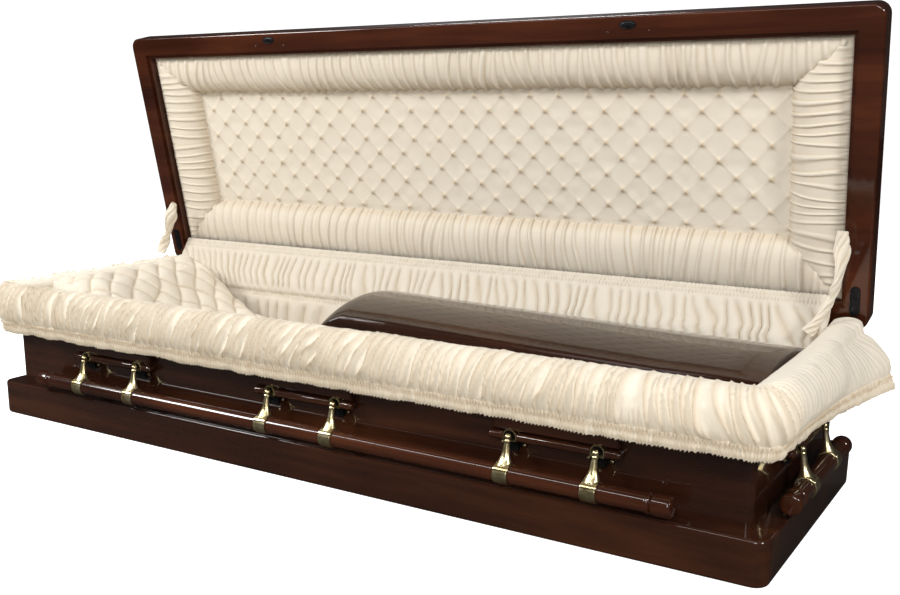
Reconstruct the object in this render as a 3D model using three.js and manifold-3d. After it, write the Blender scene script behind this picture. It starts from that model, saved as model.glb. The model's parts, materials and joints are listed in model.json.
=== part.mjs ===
// A full-couch wooden funeral casket with its lid standing open.
// Millimetres. +X runs along the casket from the head end to the foot end, +Y to the hinge side, +Z up.
// The origin is the middle of the underside.
import * as THREE from 'three';
import { mergeVertices } from 'three/addons/utils/BufferGeometryUtils.js';
import Module from 'manifold-3d';

const wasm = await Module();
wasm.setup();

// Driving dimensions

const GAP = 0.3; // clearance left between pieces that touch

const BASE_LENGTH = 2134;
const BASE_WIDTH = 710;
const BASE_HEIGHT = 92;
const BASE_CORNER_R = 30;
const BASE_EDGE_R = 8;
const BOTTOM_THICK = 18;

const BODY_INSET = 43; // from the base moulding's side to the wall's face
const WALL_THICK = 19;
const BODY_CORNER_R = 12;

const RIM_TOP = 350; // height of the rim's top above the underside
const RIM_HEIGHT = 32;
const RIM_INSET = 9; // from the base moulding's side to the rim's side
const RIM_EDGE_R = 5;

const LID_OPEN_DEG = 78; // how far the lid is turned back from closed
const LID_LENGTH = 2150;
const LID_WIDTH = 708;
const LID_CORNER_R = 28;
const LID_FACE = 60; // width of the lid frame's face
const LID_FRAME_DEPTH = 60;
const LID_DEPTH = 230; // from the lid frame's face to the crown's top
const LID_LIP = 9; // width of the stepped lip at the frame's inner edge
const LID_LIP_STEP = 8;
const LID_EDGE_R = 5;
const LID_SHOULDER = 16; // how far the frame's outer side leans in at its back
const CATCH_X = 530;
const CATCH_FROM_EDGE = 18;
const CATCH_LENGTH = 34;
const CATCH_WIDTH = 12;
const CATCH_THICK = 1.5;
const CROWN_WALL = 14;
const CROWN_TOP_INSET = 214; // from the lid's side to the crown's flat top

const ROLL_WIDTH = 130;
const ROLL_WIDTH_TOP = 110; // the roll is narrower along the lid's free edge
const ROLL_RECESS = 20; // from the lid frame's face to the roll's crest
const TUFT_RECESS = 62; // from the lid frame's face to the tufted panel
const LID_PAD_BACK = 76; // from the lid frame's face to the back of the padding
const ROLL_DROP = 12; // how far the roll falls from its crest to its outer edge
const ROLL_CORNER_R = 24; // of the roll's inner corners
const TUFT_CROWN = 3; // how far the tufted panel rises in its middle
const TUFT_EDGE = 16; // width over which it does

const HINGE_X = 720; // of the outer hinges; the third is in the middle
const HINGE_WIDTH = 90;
const HINGE_BARREL_R = 3.2;
const HINGE_LEAF = 1.6;
const HINGE_DROP = 0.5; // of the hinge axis below the rim's top
const HINGE_LEAF_LENGTH = 44;
const HINGE_LAP = 0.3; // how far the barrel laps over the leaf's face
const HINGE_WEB = 1; // clear height between the barrel and the leaf proper
const LID_SEAT_CLEAR = 0.1; // between the barrel and the lid frame's face when it is shut
const LID_BACK_CLEAR = 0.2; // between the barrel and the lid frame's rear side

const PANEL_PITCH = 633; // between the raised panels on a long side
const PANEL_WIDTH = 274;
const PANEL_THICK = 20;
const PANEL_LAP = 4; // how far the panel's field runs down behind the ledge
const LEDGE_WIDTH = 290;
const LEDGE_TOP = 203;
const LEDGE_HEIGHT = 17;
const LEDGE_PROUD = 27; // of the ledge from the wall
const LEDGE_NOSE_R = 12;

const ARM_SPREAD = 190; // between the two arms of a panel
const LUG_WIDTH = 34;
const LUG_TOP = 212;
const LUG_BOTTOM = 158;
const LUG_PROUD = 22;
const EAR_WIDTH = 66;
const EAR_HEIGHT = 20;
const EAR_THICK = 4;

const PIVOT_Z = 196;
const PIVOT_OUT = 30; // from the wall to the arm's pivot
const PIVOT_R = 6.5;
const BAR_Z = 123;
const BAR_OUT = 45; // from the wall to the bar's axis
const BAR_R = 19;
const TIP_R = 21.5;
const TIP_LENGTH = 56;
const TIP_EDGE = 4; // rounding of the tip's end
const BAR_HALF_LONG = 892; // from the middle of a long side to the bar's end
const BAR_HALF_END = 225;
const CUFF_R = 22.5;
const CUFF_WIDTH = 27;
const STEM_R = 5.5;
const SIDES = 8; // sides of the turned bar and of its cuffs

const LINING_THICK = 12;
const LINING_BOTTOM = 100;
const MATTRESS_TOP = 150;
const MATTRESS_CLEAR = 3;
const MATTRESS_EDGE_R = 24;
const MATTRESS_CORNER_R = 40;

const PILLOW_LENGTH = 655;
const PILLOW_HEAD_Z = 392;
const PILLOW_FOOT_Z = 238;
const PILLOW_EDGE_DROP = 0.3; // share of the pillow's height that its edges fall
const PILLOW_CLEAR = 10;

const COVER_START_X = -50; // of the foot cover's open end
const COVER_CROWN_HEAD = 392;
const COVER_CROWN_FOOT = 365;
const COVER_ARCH_R = 430;
const COVER_THICK = 12;
const COVER_NOSE = 42; // length over which the open end is rounded down
const COVER_NOSE_DROP = 12;
const COVER_CLEAR = 8;

const THROW_HEM_Z = 233;
const THROW_TOP_Z = 366;
const THROW_THICK = 10;
const THROW_BULGE = 16; // of the ruffle beyond the base moulding's side
const THROW_CORNER_R = 60; // how far from the corner its ends' stations stop
const THROW_REAR_Y = 330; // where its two ends stop
const THROW_FLARE_FOOT = 84; // how far its hem stands out at the rear of the foot end
const THROW_FLARE_HEAD = 30;
const THROW_LIFT = 20; // how far it rises over the rear corners
const THROW_TUCK = 4; // how far over the rim's underside it ends inside the box
const THROW_STEPS = 6; // stations along each end
const THROW_CORNER_STEPS = 4;

const APRON_TOP_Z = 412;
const APRON_TOP_Y = 326;
const APRON_ELASTIC_Z = 295;
const APRON_BOTTOM_Z = 155;
const APRON_THICK = 8;
const APRON_END = 20; // from the wall's inner face to the apron's end
const APRON_OVER = 14; // how far it still stands over the rear wall halfway up to the lid
const APRON_RISE = 26; // its height over the rim there
const APRON_SAG = 6; // how far it hangs off the rear wall

const SLEEVE_R = 16;
// Points of the sleeves' lines: [in from the side of the lid's opening, ahead of the hinge axis, above the rim]
const SLEEVE_HEAD = [[15, 69, 195], [-7, 66, 142], [-20, 67, 98], [-30, 93, 38]];
const SLEEVE_FOOT = [[-3, 79, 233], [1, 71, 155], [7, 68, 80], [15, 89, 40]];
const STAY_PLATE_LENGTH = 70;
const STAY_PLATE_WIDTH = 22;
const STAY_PLATE_THICK = 1.8;

// Worked out from the above

const halfL = BASE_LENGTH / 2;
const halfW = BASE_WIDTH / 2;
const wallX = halfL - BODY_INSET; // outer faces of the walls
const wallY = halfW - BODY_INSET;
const inX = wallX - WALL_THICK; // inner faces of the walls
const inY = wallY - WALL_THICK;
const rimX = halfL - RIM_INSET;
const rimY = halfW - RIM_INSET;
const rimBottom = RIM_TOP - RIM_HEIGHT;
const roomX = inX - LINING_THICK - GAP; // room between the linings
const roomY = inY - LINING_THICK - GAP;
const hingeY = rimY + GAP + HINGE_LEAF + HINGE_BARREL_R - HINGE_LAP;
const hingeZ = RIM_TOP - HINGE_DROP;
const lidSeat = HINGE_BARREL_R + LID_SEAT_CLEAR; // from the hinge axis to the lid frame's face
const lidBack = HINGE_BARREL_R + LID_BACK_CLEAR; // from the hinge axis to the lid frame's rear side

// Finishes

const finish = (color, roughness, metalness = 0) =>
  new THREE.MeshStandardMaterial({ color, roughness, metalness });
const mahogany = finish(0x34120b, 0.12);
const innerWood = finish(0x5a3a26, 0.7);
const brass = finish(0xc8b070, 0.25, 1);
const darkMetal = finish(0x1c1a19, 0.4, 1);
const cloth = finish(0xe9dfc8, 0.9);

const casket = new THREE.Group();

// Geometry helpers

/** Merges equal points and drops the triangles that this leaves without area. */
function tidy(geometry) {
  const bare = geometry.clone();
  for (const name of Object.keys(bare.attributes)) if (name !== 'position') bare.deleteAttribute(name);
  const merged = mergeVertices(bare, 1e-4);
  const index = merged.index.array;
  const kept = [];
  for (let i = 0; i < index.length; i += 3) {
    const [a, b, c] = [index[i], index[i + 1], index[i + 2]];
    if (a !== b && b !== c && c !== a) kept.push(a, b, c);
  }
  merged.setIndex(kept);
  merged.computeVertexNormals();
  return merged;
}

/** Volume with its sign, negative where the faces point inwards. */
function signedVolume(points, index) {
  let sum = 0;
  const cross = new THREE.Vector3();
  for (let i = 0; i < index.length; i += 3) {
    sum += points[index[i]].dot(cross.crossVectors(points[index[i + 1]], points[index[i + 2]]));
  }
  return sum / 6;
}

/** A solid through rings of equally many points. A loop joins its last ring to its first. */
function loft(rings, loop = false) {
  const n = rings[0].length;
  const points = rings.flat();
  const index = [];
  const bands = loop ? rings.length : rings.length - 1;
  for (let r = 0; r < bands; r++) {
    const s = (r + 1) % rings.length;
    for (let i = 0; i < n; i++) {
      const j = (i + 1) % n;
      index.push(r * n + i, r * n + j, s * n + j, r * n + i, s * n + j, s * n + i);
    }
  }
  if (!loop) {
    cap(rings[0]).forEach(([a, b, c]) => index.push(a, c, b));
    const last = (rings.length - 1) * n;
    cap(rings[rings.length - 1]).forEach(([a, b, c]) => index.push(last + a, last + b, last + c));
  }
  if (signedVolume(points, index) < 0) index.reverse();
  const geometry = new THREE.BufferGeometry().setFromPoints(points);
  geometry.setIndex(index);
  return geometry;
}

/** Triangles that fill a flat ring, turned the same way as the ring's points. */
function cap(ring) {
  const normal = new THREE.Vector3();
  const cross = new THREE.Vector3();
  ring.forEach((p, i) => normal.add(cross.crossVectors(p, ring[(i + 1) % ring.length])));
  normal.normalize();
  const u = new THREE.Vector3().subVectors(ring[1], ring[0]).normalize();
  const v = new THREE.Vector3().crossVectors(normal, u);
  const flat = ring.map((p) => new THREE.Vector2(p.dot(u), p.dot(v)));
  return THREE.ShapeUtils.triangulateShape(flat, []);
}

/** Points of a rounded rectangle at one height, anticlockwise from above. */
function roundRect(halfX, y0, y1, radius, z, steps = 3) {
  const r = Math.max(radius, 0.5);
  const corners = [[halfX - r, y1 - r], [-halfX + r, y1 - r], [-halfX + r, y0 + r], [halfX - r, y0 + r]];
  return corners.flatMap(([cx, cy], quarter) =>
    Array.from({ length: steps + 1 }, (_, k) => {
      const a = (quarter + k / steps) * Math.PI / 2;
      return new THREE.Vector3(cx + r * Math.cos(a), cy + r * Math.sin(a), z);
    }));
}

/** A moulding that runs round a rectangle. Its profile is closed, of [inset from the rectangle, height]. */
function moulding(halfX, y0, y1, radius, profile) {
  return loft(profile.map(([inset, z]) =>
    roundRect(halfX - inset, y0 + inset, y1 - inset, radius - inset, z)), true);
}

function toManifold(geometry) {
  const g = tidy(geometry);
  return new wasm.Manifold(new wasm.Mesh({
    numProp: 3,
    vertProperties: new Float32Array(g.attributes.position.array),
    triVerts: new Uint32Array(g.index.array),
  }));
}

function fromManifold(solid) {
  const mesh = solid.getMesh();
  const geometry = new THREE.BufferGeometry();
  geometry.setAttribute('position', new THREE.BufferAttribute(mesh.vertProperties, 3));
  geometry.setIndex(new THREE.BufferAttribute(mesh.triVerts, 1));
  return geometry;
}

/** Joins geometries into one solid, then cuts others away. */
function joined(parts, cuts = []) {
  let solid = parts.map(toManifold).reduce((a, b) => a.add(b));
  for (const cut of cuts) solid = solid.subtract(toManifold(cut));
  return fromManifold(solid);
}

function box(x0, x1, y0, y1, z0, z1) {
  const g = new THREE.BoxGeometry(x1 - x0, y1 - y0, z1 - z0);
  return g.translate((x0 + x1) / 2, (y0 + y1) / 2, (z0 + z1) / 2);
}

function cylinderX(radius, x0, x1, y, z, sides) {
  const g = new THREE.CylinderGeometry(radius, radius, x1 - x0, sides);
  return g.rotateZ(Math.PI / 2).translate((x0 + x1) / 2, y, z);
}

function add(parent, name, geometry, material) {
  const mesh = new THREE.Mesh(tidy(geometry), material);
  mesh.name = name;
  parent.add(mesh);
}

// Box of the casket

function addBase() {
  const inset = BODY_INSET + WALL_THICK;
  const e = BASE_EDGE_R;
  const profile = [
    [0, 0], [0, BASE_HEIGHT - e], [e * 0.3, BASE_HEIGHT - e * 0.3], [e, BASE_HEIGHT],
    [inset, BASE_HEIGHT], [inset, 0],
  ];
  add(casket, 'base_moulding', moulding(halfL, -halfW, halfW, BASE_CORNER_R, profile), mahogany);
  const bottomX = inX - GAP;
  const bottomY = inY - GAP;
  add(casket, 'bottom_board', box(-bottomX, bottomX, -bottomY, bottomY, 0, BOTTOM_THICK), innerWood);
}

function addWalls() {
  const z0 = BASE_HEIGHT + GAP;
  const height = rimBottom - GAP - z0;
  for (const [name, side] of [['front_wall', -1], ['back_wall', 1]]) {
    const r = BODY_CORNER_R;
    const plan = new THREE.Shape();
    plan.moveTo(-wallX, side * inY);
    plan.lineTo(-wallX, side * (wallY - r));
    plan.absarc(-wallX + r, side * (wallY - r), r, Math.PI, side * Math.PI / 2, side > 0);
    plan.absarc(wallX - r, side * (wallY - r), r, side * Math.PI / 2, 0, side > 0);
    plan.lineTo(wallX, side * inY);
    const settings = { depth: height, bevelEnabled: false, curveSegments: 4 };
    const geometry = new THREE.ExtrudeGeometry(plan, settings);
    add(casket, name, geometry.translate(0, 0, z0), mahogany);
  }
  for (const [name, side] of [['head_wall', -1], ['foot_wall', 1]]) {
    const xs = [side * inX, side * wallX].sort((a, b) => a - b);
    add(casket, name, box(xs[0], xs[1], -inY + GAP, inY - GAP, z0, z0 + height), mahogany);
  }
}

function addRim() {
  const width = BODY_INSET + WALL_THICK - RIM_INSET;
  const e = RIM_EDGE_R;
  const profile = [
    [e, rimBottom], [0, rimBottom + e], [0, RIM_TOP - e], [e, RIM_TOP],
    [width, RIM_TOP], [width, rimBottom],
  ];
  add(casket, 'rim_moulding', moulding(rimX, -rimY, rimY, BASE_CORNER_R - RIM_INSET, profile), mahogany);
}

// Raised panels with ledges and lugs, drawn standing at the origin and facing -Y

function panelGeometry() {
  const y = -GAP;
  const side = PANEL_WIDTH / 2;
  const block = box(-side, side, y - PANEL_THICK, y, LEDGE_TOP - PANEL_LAP, rimBottom - GAP);
  const nose = LEDGE_HEIGHT / 3;
  const half = LEDGE_WIDTH / 2 - nose;
  const front = -LEDGE_PROUD + nose;
  const plan = new THREE.Shape();
  plan.moveTo(-half, y - nose);
  plan.lineTo(-half, front + LEDGE_NOSE_R);
  plan.absarc(-half + LEDGE_NOSE_R, front + LEDGE_NOSE_R, LEDGE_NOSE_R, Math.PI, Math.PI * 1.5, false);
  plan.absarc(half - LEDGE_NOSE_R, front + LEDGE_NOSE_R, LEDGE_NOSE_R, Math.PI * 1.5, Math.PI * 2, false);
  plan.lineTo(half, y - nose);
  const ledge = new THREE.ExtrudeGeometry(plan, {
    depth: LEDGE_HEIGHT - 2 * nose, bevelThickness: nose, bevelSize: nose, bevelSegments: 1, curveSegments: 2,
  }).translate(0, 0, LEDGE_TOP - LEDGE_HEIGHT + nose);
  const places = [-ARM_SPREAD / 2, ARM_SPREAD / 2];
  const lugs = places.flatMap((x) => lugGeometry(x, y));
  const r = LUG_WIDTH / 2;
  const notches = places.map((x) => // room in the ledge for the arm's eye
    box(x - r, x + r, -LEDGE_PROUD - 1, -LUG_PROUD - GAP, LUG_BOTTOM - 1, LUG_TOP + 1));
  return joined([block, ledge, ...lugs], notches);
}

function lugGeometry(x, y) {
  const r = LUG_WIDTH / 2;
  const arch = new THREE.Shape();
  arch.moveTo(x - r, LUG_BOTTOM);
  arch.lineTo(x + r, LUG_BOTTOM);
  arch.absarc(x, LUG_TOP - r, r, 0, Math.PI, false);
  const lug = new THREE.ExtrudeGeometry(arch, { depth: LUG_PROUD, bevelEnabled: false, curveSegments: 3 })
    .rotateX(Math.PI / 2).translate(0, y, 0);
  const earZ = LEDGE_TOP - LEDGE_HEIGHT - EAR_HEIGHT;
  const ear = box(x - EAR_WIDTH / 2, x + EAR_WIDTH / 2, y - EAR_THICK, y, earZ, earZ + EAR_HEIGHT);
  return [lug, ear];
}

// Swing-bar handles, drawn the same way

function barGeometry(half) {
  const t = TIP_LENGTH;
  const neck = BAR_R * 0.9;
  const end = [
    [0, 0], [TIP_R - TIP_EDGE, 0], [TIP_R, TIP_EDGE], [TIP_R, t * 0.64], [neck, t * 0.72], [TIP_R, t * 0.8],
    [TIP_R, t * 0.88], [BAR_R, t],
  ];
  const profile = [...end.map(([r, x]) => [r, x - half]), ...end.map(([r, x]) => [r, half - x]).reverse()];
  const lathe = new THREE.LatheGeometry(profile.map(([r, x]) => new THREE.Vector2(r, x)), SIDES);
  return lathe.rotateZ(-Math.PI / 2).translate(0, -BAR_OUT, BAR_Z);
}

function armGeometry(x) {
  const reach = Math.hypot(BAR_OUT - PIVOT_OUT, PIVOT_Z - BAR_Z);
  const lean = Math.atan2(BAR_OUT - PIVOT_OUT, PIVOT_Z - BAR_Z);
  const shoulder = reach - CUFF_R;
  const sections = [ // [way down, half width, half depth]
    [0, STEM_R, STEM_R],
    [shoulder * 0.6, STEM_R * 1.2, STEM_R],
    [shoulder * 0.85, CUFF_WIDTH * 0.34, STEM_R * 1.3],
    [reach - BAR_R * 0.6, CUFF_WIDTH / 2, CUFF_R * 0.75],
  ];
  const stem = loft(sections.map(([down, wide, deep]) =>
    Array.from({ length: 6 }, (_, k) => {
      const a = k * Math.PI / 3;
      return new THREE.Vector3(wide * Math.cos(a), deep * Math.sin(a), -down);
    })));
  stem.rotateX(-lean).translate(x, -PIVOT_OUT, PIVOT_Z);
  const eye = new THREE.SphereGeometry(PIVOT_R, 6, 4).translate(x, -PIVOT_OUT, PIVOT_Z);
  const cuff = cylinderX(CUFF_R, x - CUFF_WIDTH / 2, x + CUFF_WIDTH / 2, -BAR_OUT, BAR_Z, SIDES);
  const hole = cylinderX(BAR_R + GAP, x - CUFF_WIDTH, x + CUFF_WIDTH, -BAR_OUT, BAR_Z, SIDES);
  return joined([stem, eye, cuff], [hole]);
}

/** Groups turned so that what is drawn facing -Y stands on each wall. */
function sides() {
  const quarter = Math.PI / 2;
  const list = [
    ['front', 0, wallY], ['back', 2 * quarter, wallY], ['head', -quarter, wallX], ['foot', quarter, wallX],
  ];
  return list.map(([name, turn, out]) => {
    const group = new THREE.Group();
    group.rotation.z = turn;
    group.position.set(out * Math.sin(turn), -out * Math.cos(turn), 0);
    casket.add(group);
    return { name, group, long: out === wallY };
  });
}

function addHandles() {
  const panel = panelGeometry();
  for (const { name, group, long } of sides()) {
    const places = long ? [-PANEL_PITCH, 0, PANEL_PITCH] : [0];
    places.forEach((x, i) => {
      const label = long ? `${name}_${i + 1}` : name;
      add(group, `handle_panel_${label}`, panel.clone().translate(x, 0, 0), mahogany);
    });
    add(group, `bar_${name}`, barGeometry(long ? BAR_HALF_LONG : BAR_HALF_END), mahogany);
    const arms = places.flatMap((x) => [x - ARM_SPREAD / 2, x + ARM_SPREAD / 2]);
    arms.forEach((x, i) => add(group, `arm_${name}_${i + 1}`, armGeometry(x), brass));
  }
}

// Soft furnishing of the box

function addLinings() {
  const t = LINING_THICK;
  const z1 = rimBottom - 4 * GAP;
  const profile = [[GAP, LINING_BOTTOM], [GAP, z1], [t * 0.5, z1 - t * 0.2], [t, z1 - t], [t, LINING_BOTTOM]];
  add(casket, 'side_lining', moulding(inX, -inY, inY, BODY_CORNER_R, profile), cloth);

  const y1 = roomY - 3 * GAP;
  const line = [ // [y, z] of its back, from the lid down
    [APRON_TOP_Y, APRON_TOP_Z], [inY + APRON_OVER, RIM_TOP + APRON_RISE], [inY - APRON_SAG, RIM_TOP],
    [y1 - APRON_SAG * 0.4, RIM_TOP - 20], [y1 - APRON_SAG, APRON_ELASTIC_Z], [y1, APRON_BOTTOM_Z],
  ];
  const front = line.map(([y, z]) => [y - APRON_THICK, z - APRON_THICK / 4]);
  const section = [...line, ...front.reverse()];
  const rings = [-1, 1].map((side) =>
    section.map(([y, z]) => new THREE.Vector3(side * (inX - APRON_END), y, z)));
  add(casket, 'rear_lining', loft(rings), cloth);
}

function addMattress() {
  const x = roomX - MATTRESS_CLEAR;
  const y = roomY - APRON_THICK - MATTRESS_CLEAR;
  const e = MATTRESS_EDGE_R;
  const z0 = BOTTOM_THICK + GAP;
  const z1 = MATTRESS_TOP;
  const rows = [[e * 0.2, z0], [0, z0 + e * 0.4], [0, z1 - e * 0.9], [e * 0.3, z1 - e * 0.25], [e, z1]];
  const rings = rows.map(([inset, z]) => roundRect(x - inset, -y + inset, y - inset, MATTRESS_CORNER_R, z));
  add(casket, 'mattress', loft(rings), cloth);
}

/** A closed cushion with a flat underside and the height top(u, v), with u along X and v along Y. */
function cushion(x0, x1, y0, y1, bottom, top, nx, ny) {
  const rings = [];
  for (let i = 0; i <= nx; i++) {
    const u = i / nx;
    const x = x0 + (x1 - x0) * u;
    const upper = Array.from({ length: ny + 1 }, (_, j) => {
      const v = j / ny;
      return new THREE.Vector3(x, y0 + (y1 - y0) * v, top(u, v));
    });
    rings.push([new THREE.Vector3(x, y0, bottom), ...upper, new THREE.Vector3(x, y1, bottom)]);
  }
  return loft(rings);
}

function addPillow() {
  const x0 = -roomX + PILLOW_CLEAR;
  const bottom = MATTRESS_TOP + GAP;
  const half = roomY - APRON_THICK - PILLOW_CLEAR;
  const round = (t) => 1 - Math.pow(Math.abs(2 * t - 1), 6); // 1 over most of the pillow, 0 at its edges
  const top = (u, v) => {
    const ridge = THREE.MathUtils.lerp(PILLOW_HEAD_Z, PILLOW_FOOT_Z, u) - bottom;
    return bottom + ridge * (1 - PILLOW_EDGE_DROP * (1 - round(v) * round(0.5 + u / 2)));
  };
  add(casket, 'pillow', cushion(x0, x0 + PILLOW_LENGTH, -half, half, bottom, top, 8, 10), cloth);
}

function addFootCover() {
  const half = roomY - APRON_THICK - COVER_CLEAR;
  const foot = MATTRESS_TOP + GAP;
  const x1 = roomX - COVER_CLEAR;
  const arcSteps = 12;
  const section = (x, crown, inner) => {
    const w = half - inner;
    const r = COVER_ARCH_R - inner;
    const swing = Math.asin(w / r);
    const arc = Array.from({ length: arcSteps + 1 }, (_, k) => {
      const a = swing * (2 * k / arcSteps - 1);
      return new THREE.Vector3(x, r * Math.sin(a), crown - inner - r * (1 - Math.cos(a)));
    });
    return [new THREE.Vector3(x, -w, foot), ...arc, new THREE.Vector3(x, w, foot)];
  };
  const crownAt = (x) => {
    const along = (x - COVER_START_X) / (x1 - COVER_START_X);
    const nose = Math.max(0, 1 - (x - COVER_START_X) / COVER_NOSE);
    return THREE.MathUtils.lerp(COVER_CROWN_HEAD, COVER_CROWN_FOOT, along) - COVER_NOSE_DROP * nose ** 2;
  };
  const stations = [COVER_START_X, COVER_START_X + COVER_NOSE * 0.4, COVER_START_X + COVER_NOSE, x1];
  const rings = stations.map((x) => {
    const crown = crownAt(x);
    return [...section(x, crown, 0), ...section(x, crown, COVER_THICK).reverse()];
  });
  add(casket, 'foot_cover', loft(rings), mahogany);
}

// The ruffled overthrow: a section carried along both ends and the front

function throwSection() {
  const t = THROW_THICK;
  const b = THROW_BULGE;
  const hem = THROW_HEM_Z;
  const fall = RIM_TOP - hem;
  const swell = THROW_TOP_Z - RIM_TOP;
  const over = RIM_TOP + 2 * GAP;
  const inside = BODY_INSET + WALL_THICK + 3 * GAP;
  const hemIn = RIM_INSET - t; // of the hem's outer side
  const tuck = rimBottom + THROW_TUCK;
  return [ // [inset from the base moulding's side, height]
    [hemIn - b * 0.2, hem],
    [-b * 0.6, hem + fall * 0.24],
    [-b, hem + fall * 0.58],
    [-b * 0.8, RIM_TOP - swell],
    [RIM_INSET - t / 2, RIM_TOP + swell / 2],
    [inside / 2, THROW_TOP_Z],
    [inside - t / 2, THROW_TOP_Z - swell * 0.4],
    [inside + t * 0.8, RIM_TOP - swell / 2],
    [inside + t, tuck],
    [inside, tuck],
    [inside, over],
    [RIM_INSET, over],
    [RIM_INSET - t * 0.2, RIM_TOP - t * 0.6],
    [RIM_INSET - t * 0.6, rimBottom],
    [hemIn + t * 0.8, hem + fall * 0.24],
    [hemIn + t * 0.5, hem],
  ];
}

function addOverthrow() {
  const section = throwSection();
  const front = THROW_CORNER_R - halfW;
  const back = inY - APRON_SAG; // the last station that reaches down inside the rim
  const even = Array.from({ length: THROW_STEPS }, (_, k) => back + (front - back) * k / THROW_STEPS);
  const ys = [THROW_REAR_Y, (THROW_REAR_Y + back) / 2, back + APRON_SAG / 2, ...even];
  const end = (side) => ys.map((y) =>
    ({ side, y, a: side > 0 ? 0 : Math.PI, rear: (y - front) / (THROW_REAR_Y - front) }));
  const corner = (side, start) => Array.from({ length: THROW_CORNER_STEPS + 1 }, (_, k) =>
    ({ side, a: start + k / THROW_CORNER_STEPS * Math.PI / 2, rear: 0 }));
  const stations = [...end(-1), ...corner(-1, Math.PI), ...corner(1, Math.PI * 1.5), ...end(1).reverse()];
  const rings = stations.map(({ side, y, a, rear }) => {
    const flare = (side > 0 ? THROW_FLARE_FOOT : THROW_FLARE_HEAD) * rear ** 2.2;
    const lift = (side > 0 ? THROW_LIFT : 0) * rear ** 4;
    return section.map(([inset, z]) => {
      const r = Math.max(BASE_CORNER_R - inset, 1);
      const cx = side * (halfL - inset - r);
      const cy = y ?? -(halfW - inset - r);
      const drop = THREE.MathUtils.clamp((RIM_TOP - z) / (RIM_TOP - THROW_HEM_Z), 0, 1);
      const outside = inset < RIM_INSET + GAP ? 1 : 0;
      const reach = r + flare * outside * drop ** 0.8;
      const rise = lift * THREE.MathUtils.clamp((z - RIM_TOP) / (THROW_THICK / 2), 0, 1);
      const folded = y > back && inset > BODY_INSET + WALL_THICK && z < RIM_TOP; // lies on the rim's rear
      const height = folded ? RIM_TOP + 3 * GAP + (z - rimBottom) * 0.1 : z + rise;
      return new THREE.Vector3(cx + reach * Math.cos(a), cy + reach * Math.sin(a), height);
    });
  });
  add(casket, 'overthrow', loft(rings), cloth);
}

function addSleeves() {
  const openX = LID_LENGTH / 2 - LID_FACE;
  const sleeves = [['stay_sleeve_head', -1, SLEEVE_HEAD], ['stay_sleeve_foot', 1, SLEEVE_FOOT]];
  for (const [name, side, line] of sleeves) {
    const points = line.map(([inward, ahead, above]) =>
      new THREE.Vector3(side * (openX - inward), hingeY - ahead, RIM_TOP + above));
    const path = new THREE.CatmullRomCurve3(points);
    const ring = new THREE.Shape().absarc(0, 0, SLEEVE_R, 0, Math.PI * 2, false);
    const geometry = new THREE.ExtrudeGeometry(ring, { steps: 8, curveSegments: 4, extrudePath: path });
    add(casket, name, geometry, cloth);
  }
}

// Lid, drawn closed: x along the casket, y back to the hinge side, z up from the frame's face

function addLid() {
  const lid = new THREE.Group();
  lid.position.set(0, hingeY, hingeZ);
  lid.rotation.x = -THREE.MathUtils.degToRad(LID_OPEN_DEG);
  casket.add(lid);
  const body = new THREE.Group();
  body.position.set(0, -lidBack, lidSeat);
  lid.add(body);

  const x = LID_LENGTH / 2;
  const w = LID_WIDTH;
  const f = LID_FACE;
  const d = LID_FRAME_DEPTH;
  const e = LID_EDGE_R;
  const frameProfile = [
    [e, 0], [0, e], [0, d - 2 * e], [e, d - e * 0.4], [LID_SHOULDER, d], [f, d], [f, LID_LIP_STEP * 1.1],
    [f - LID_LIP, LID_LIP_STEP], [f - LID_LIP * 1.1, 0],
  ];
  add(body, 'lid_frame', moulding(x, -w, 0, LID_CORNER_R, frameProfile), mahogany);
  addCrown(body, x, w);
  addLidPadding(body, x - f - GAP, w, f + GAP);

  for (const [name, side] of [['catch_plate_head', -1], ['catch_plate_foot', 1]]) {
    const plate = slotPlate(CATCH_LENGTH, CATCH_WIDTH, CATCH_THICK);
    add(body, name, plate.translate(side * CATCH_X, -w + CATCH_FROM_EDGE, -GAP), darkMetal);
  }
  for (const [name, side] of [['stay_bracket_head', -1], ['stay_bracket_foot', 1]]) {
    const plate = slotPlate(STAY_PLATE_LENGTH, STAY_PLATE_WIDTH, STAY_PLATE_THICK).rotateZ(Math.PI / 2);
    add(body, name, plate.translate(side * (x - f / 2), -STAY_PLATE_LENGTH, -GAP), darkMetal);
  }
  addHinges(lid);
}

/** A plate with round ends, its back at z = 0 and its face towards -Z. */
function slotPlate(length, width, thick) {
  const r = width / 2;
  const shape = new THREE.Shape();
  shape.absarc(length / 2 - r, 0, r, -Math.PI / 2, Math.PI / 2, false);
  shape.absarc(-length / 2 + r, 0, r, Math.PI / 2, Math.PI * 1.5, false);
  const geometry = new THREE.ExtrudeGeometry(shape, { depth: thick, bevelEnabled: false, curveSegments: 5 });
  return geometry.translate(0, 0, -thick);
}

function addCrown(body, x, w) {
  const z0 = LID_FRAME_DEPTH + GAP;
  const z1 = LID_DEPTH;
  const t = CROWN_WALL;
  const rise = z1 - z0;
  const run = CROWN_TOP_INSET;
  // The cove from the frame to the flat top, as shares of its run and of its rise
  const cove = [
    [0.08, 0], [0.08, 0.1], [0.14, 0.2], [0.2, 0.27], [0.33, 0.55], [0.49, 0.77], [0.7, 0.93], [1, 1],
  ];
  const outer = cove.map(([a, b]) =>
    roundRect(x - a * run, -w + a * run, -a * run, LID_CORNER_R, z0 + b * rise));
  const foot = LID_FACE;
  const hollow = [[0, 0], [0, 0.12], [0.03, 0.28], [0.15, 0.5], [0.35, 0.74], [0.62, 0.93], [1, 1]];
  const inner = hollow.map(([a, b]) => {
    const inset = foot + a * (run - foot + t * 0.4);
    return roundRect(x - inset, -w + inset, -inset, a * LID_CORNER_R, z0 + b * (rise - t));
  });
  add(body, 'lid_crown', loft([...inner.reverse(), ...outer]), mahogany);
}

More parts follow.
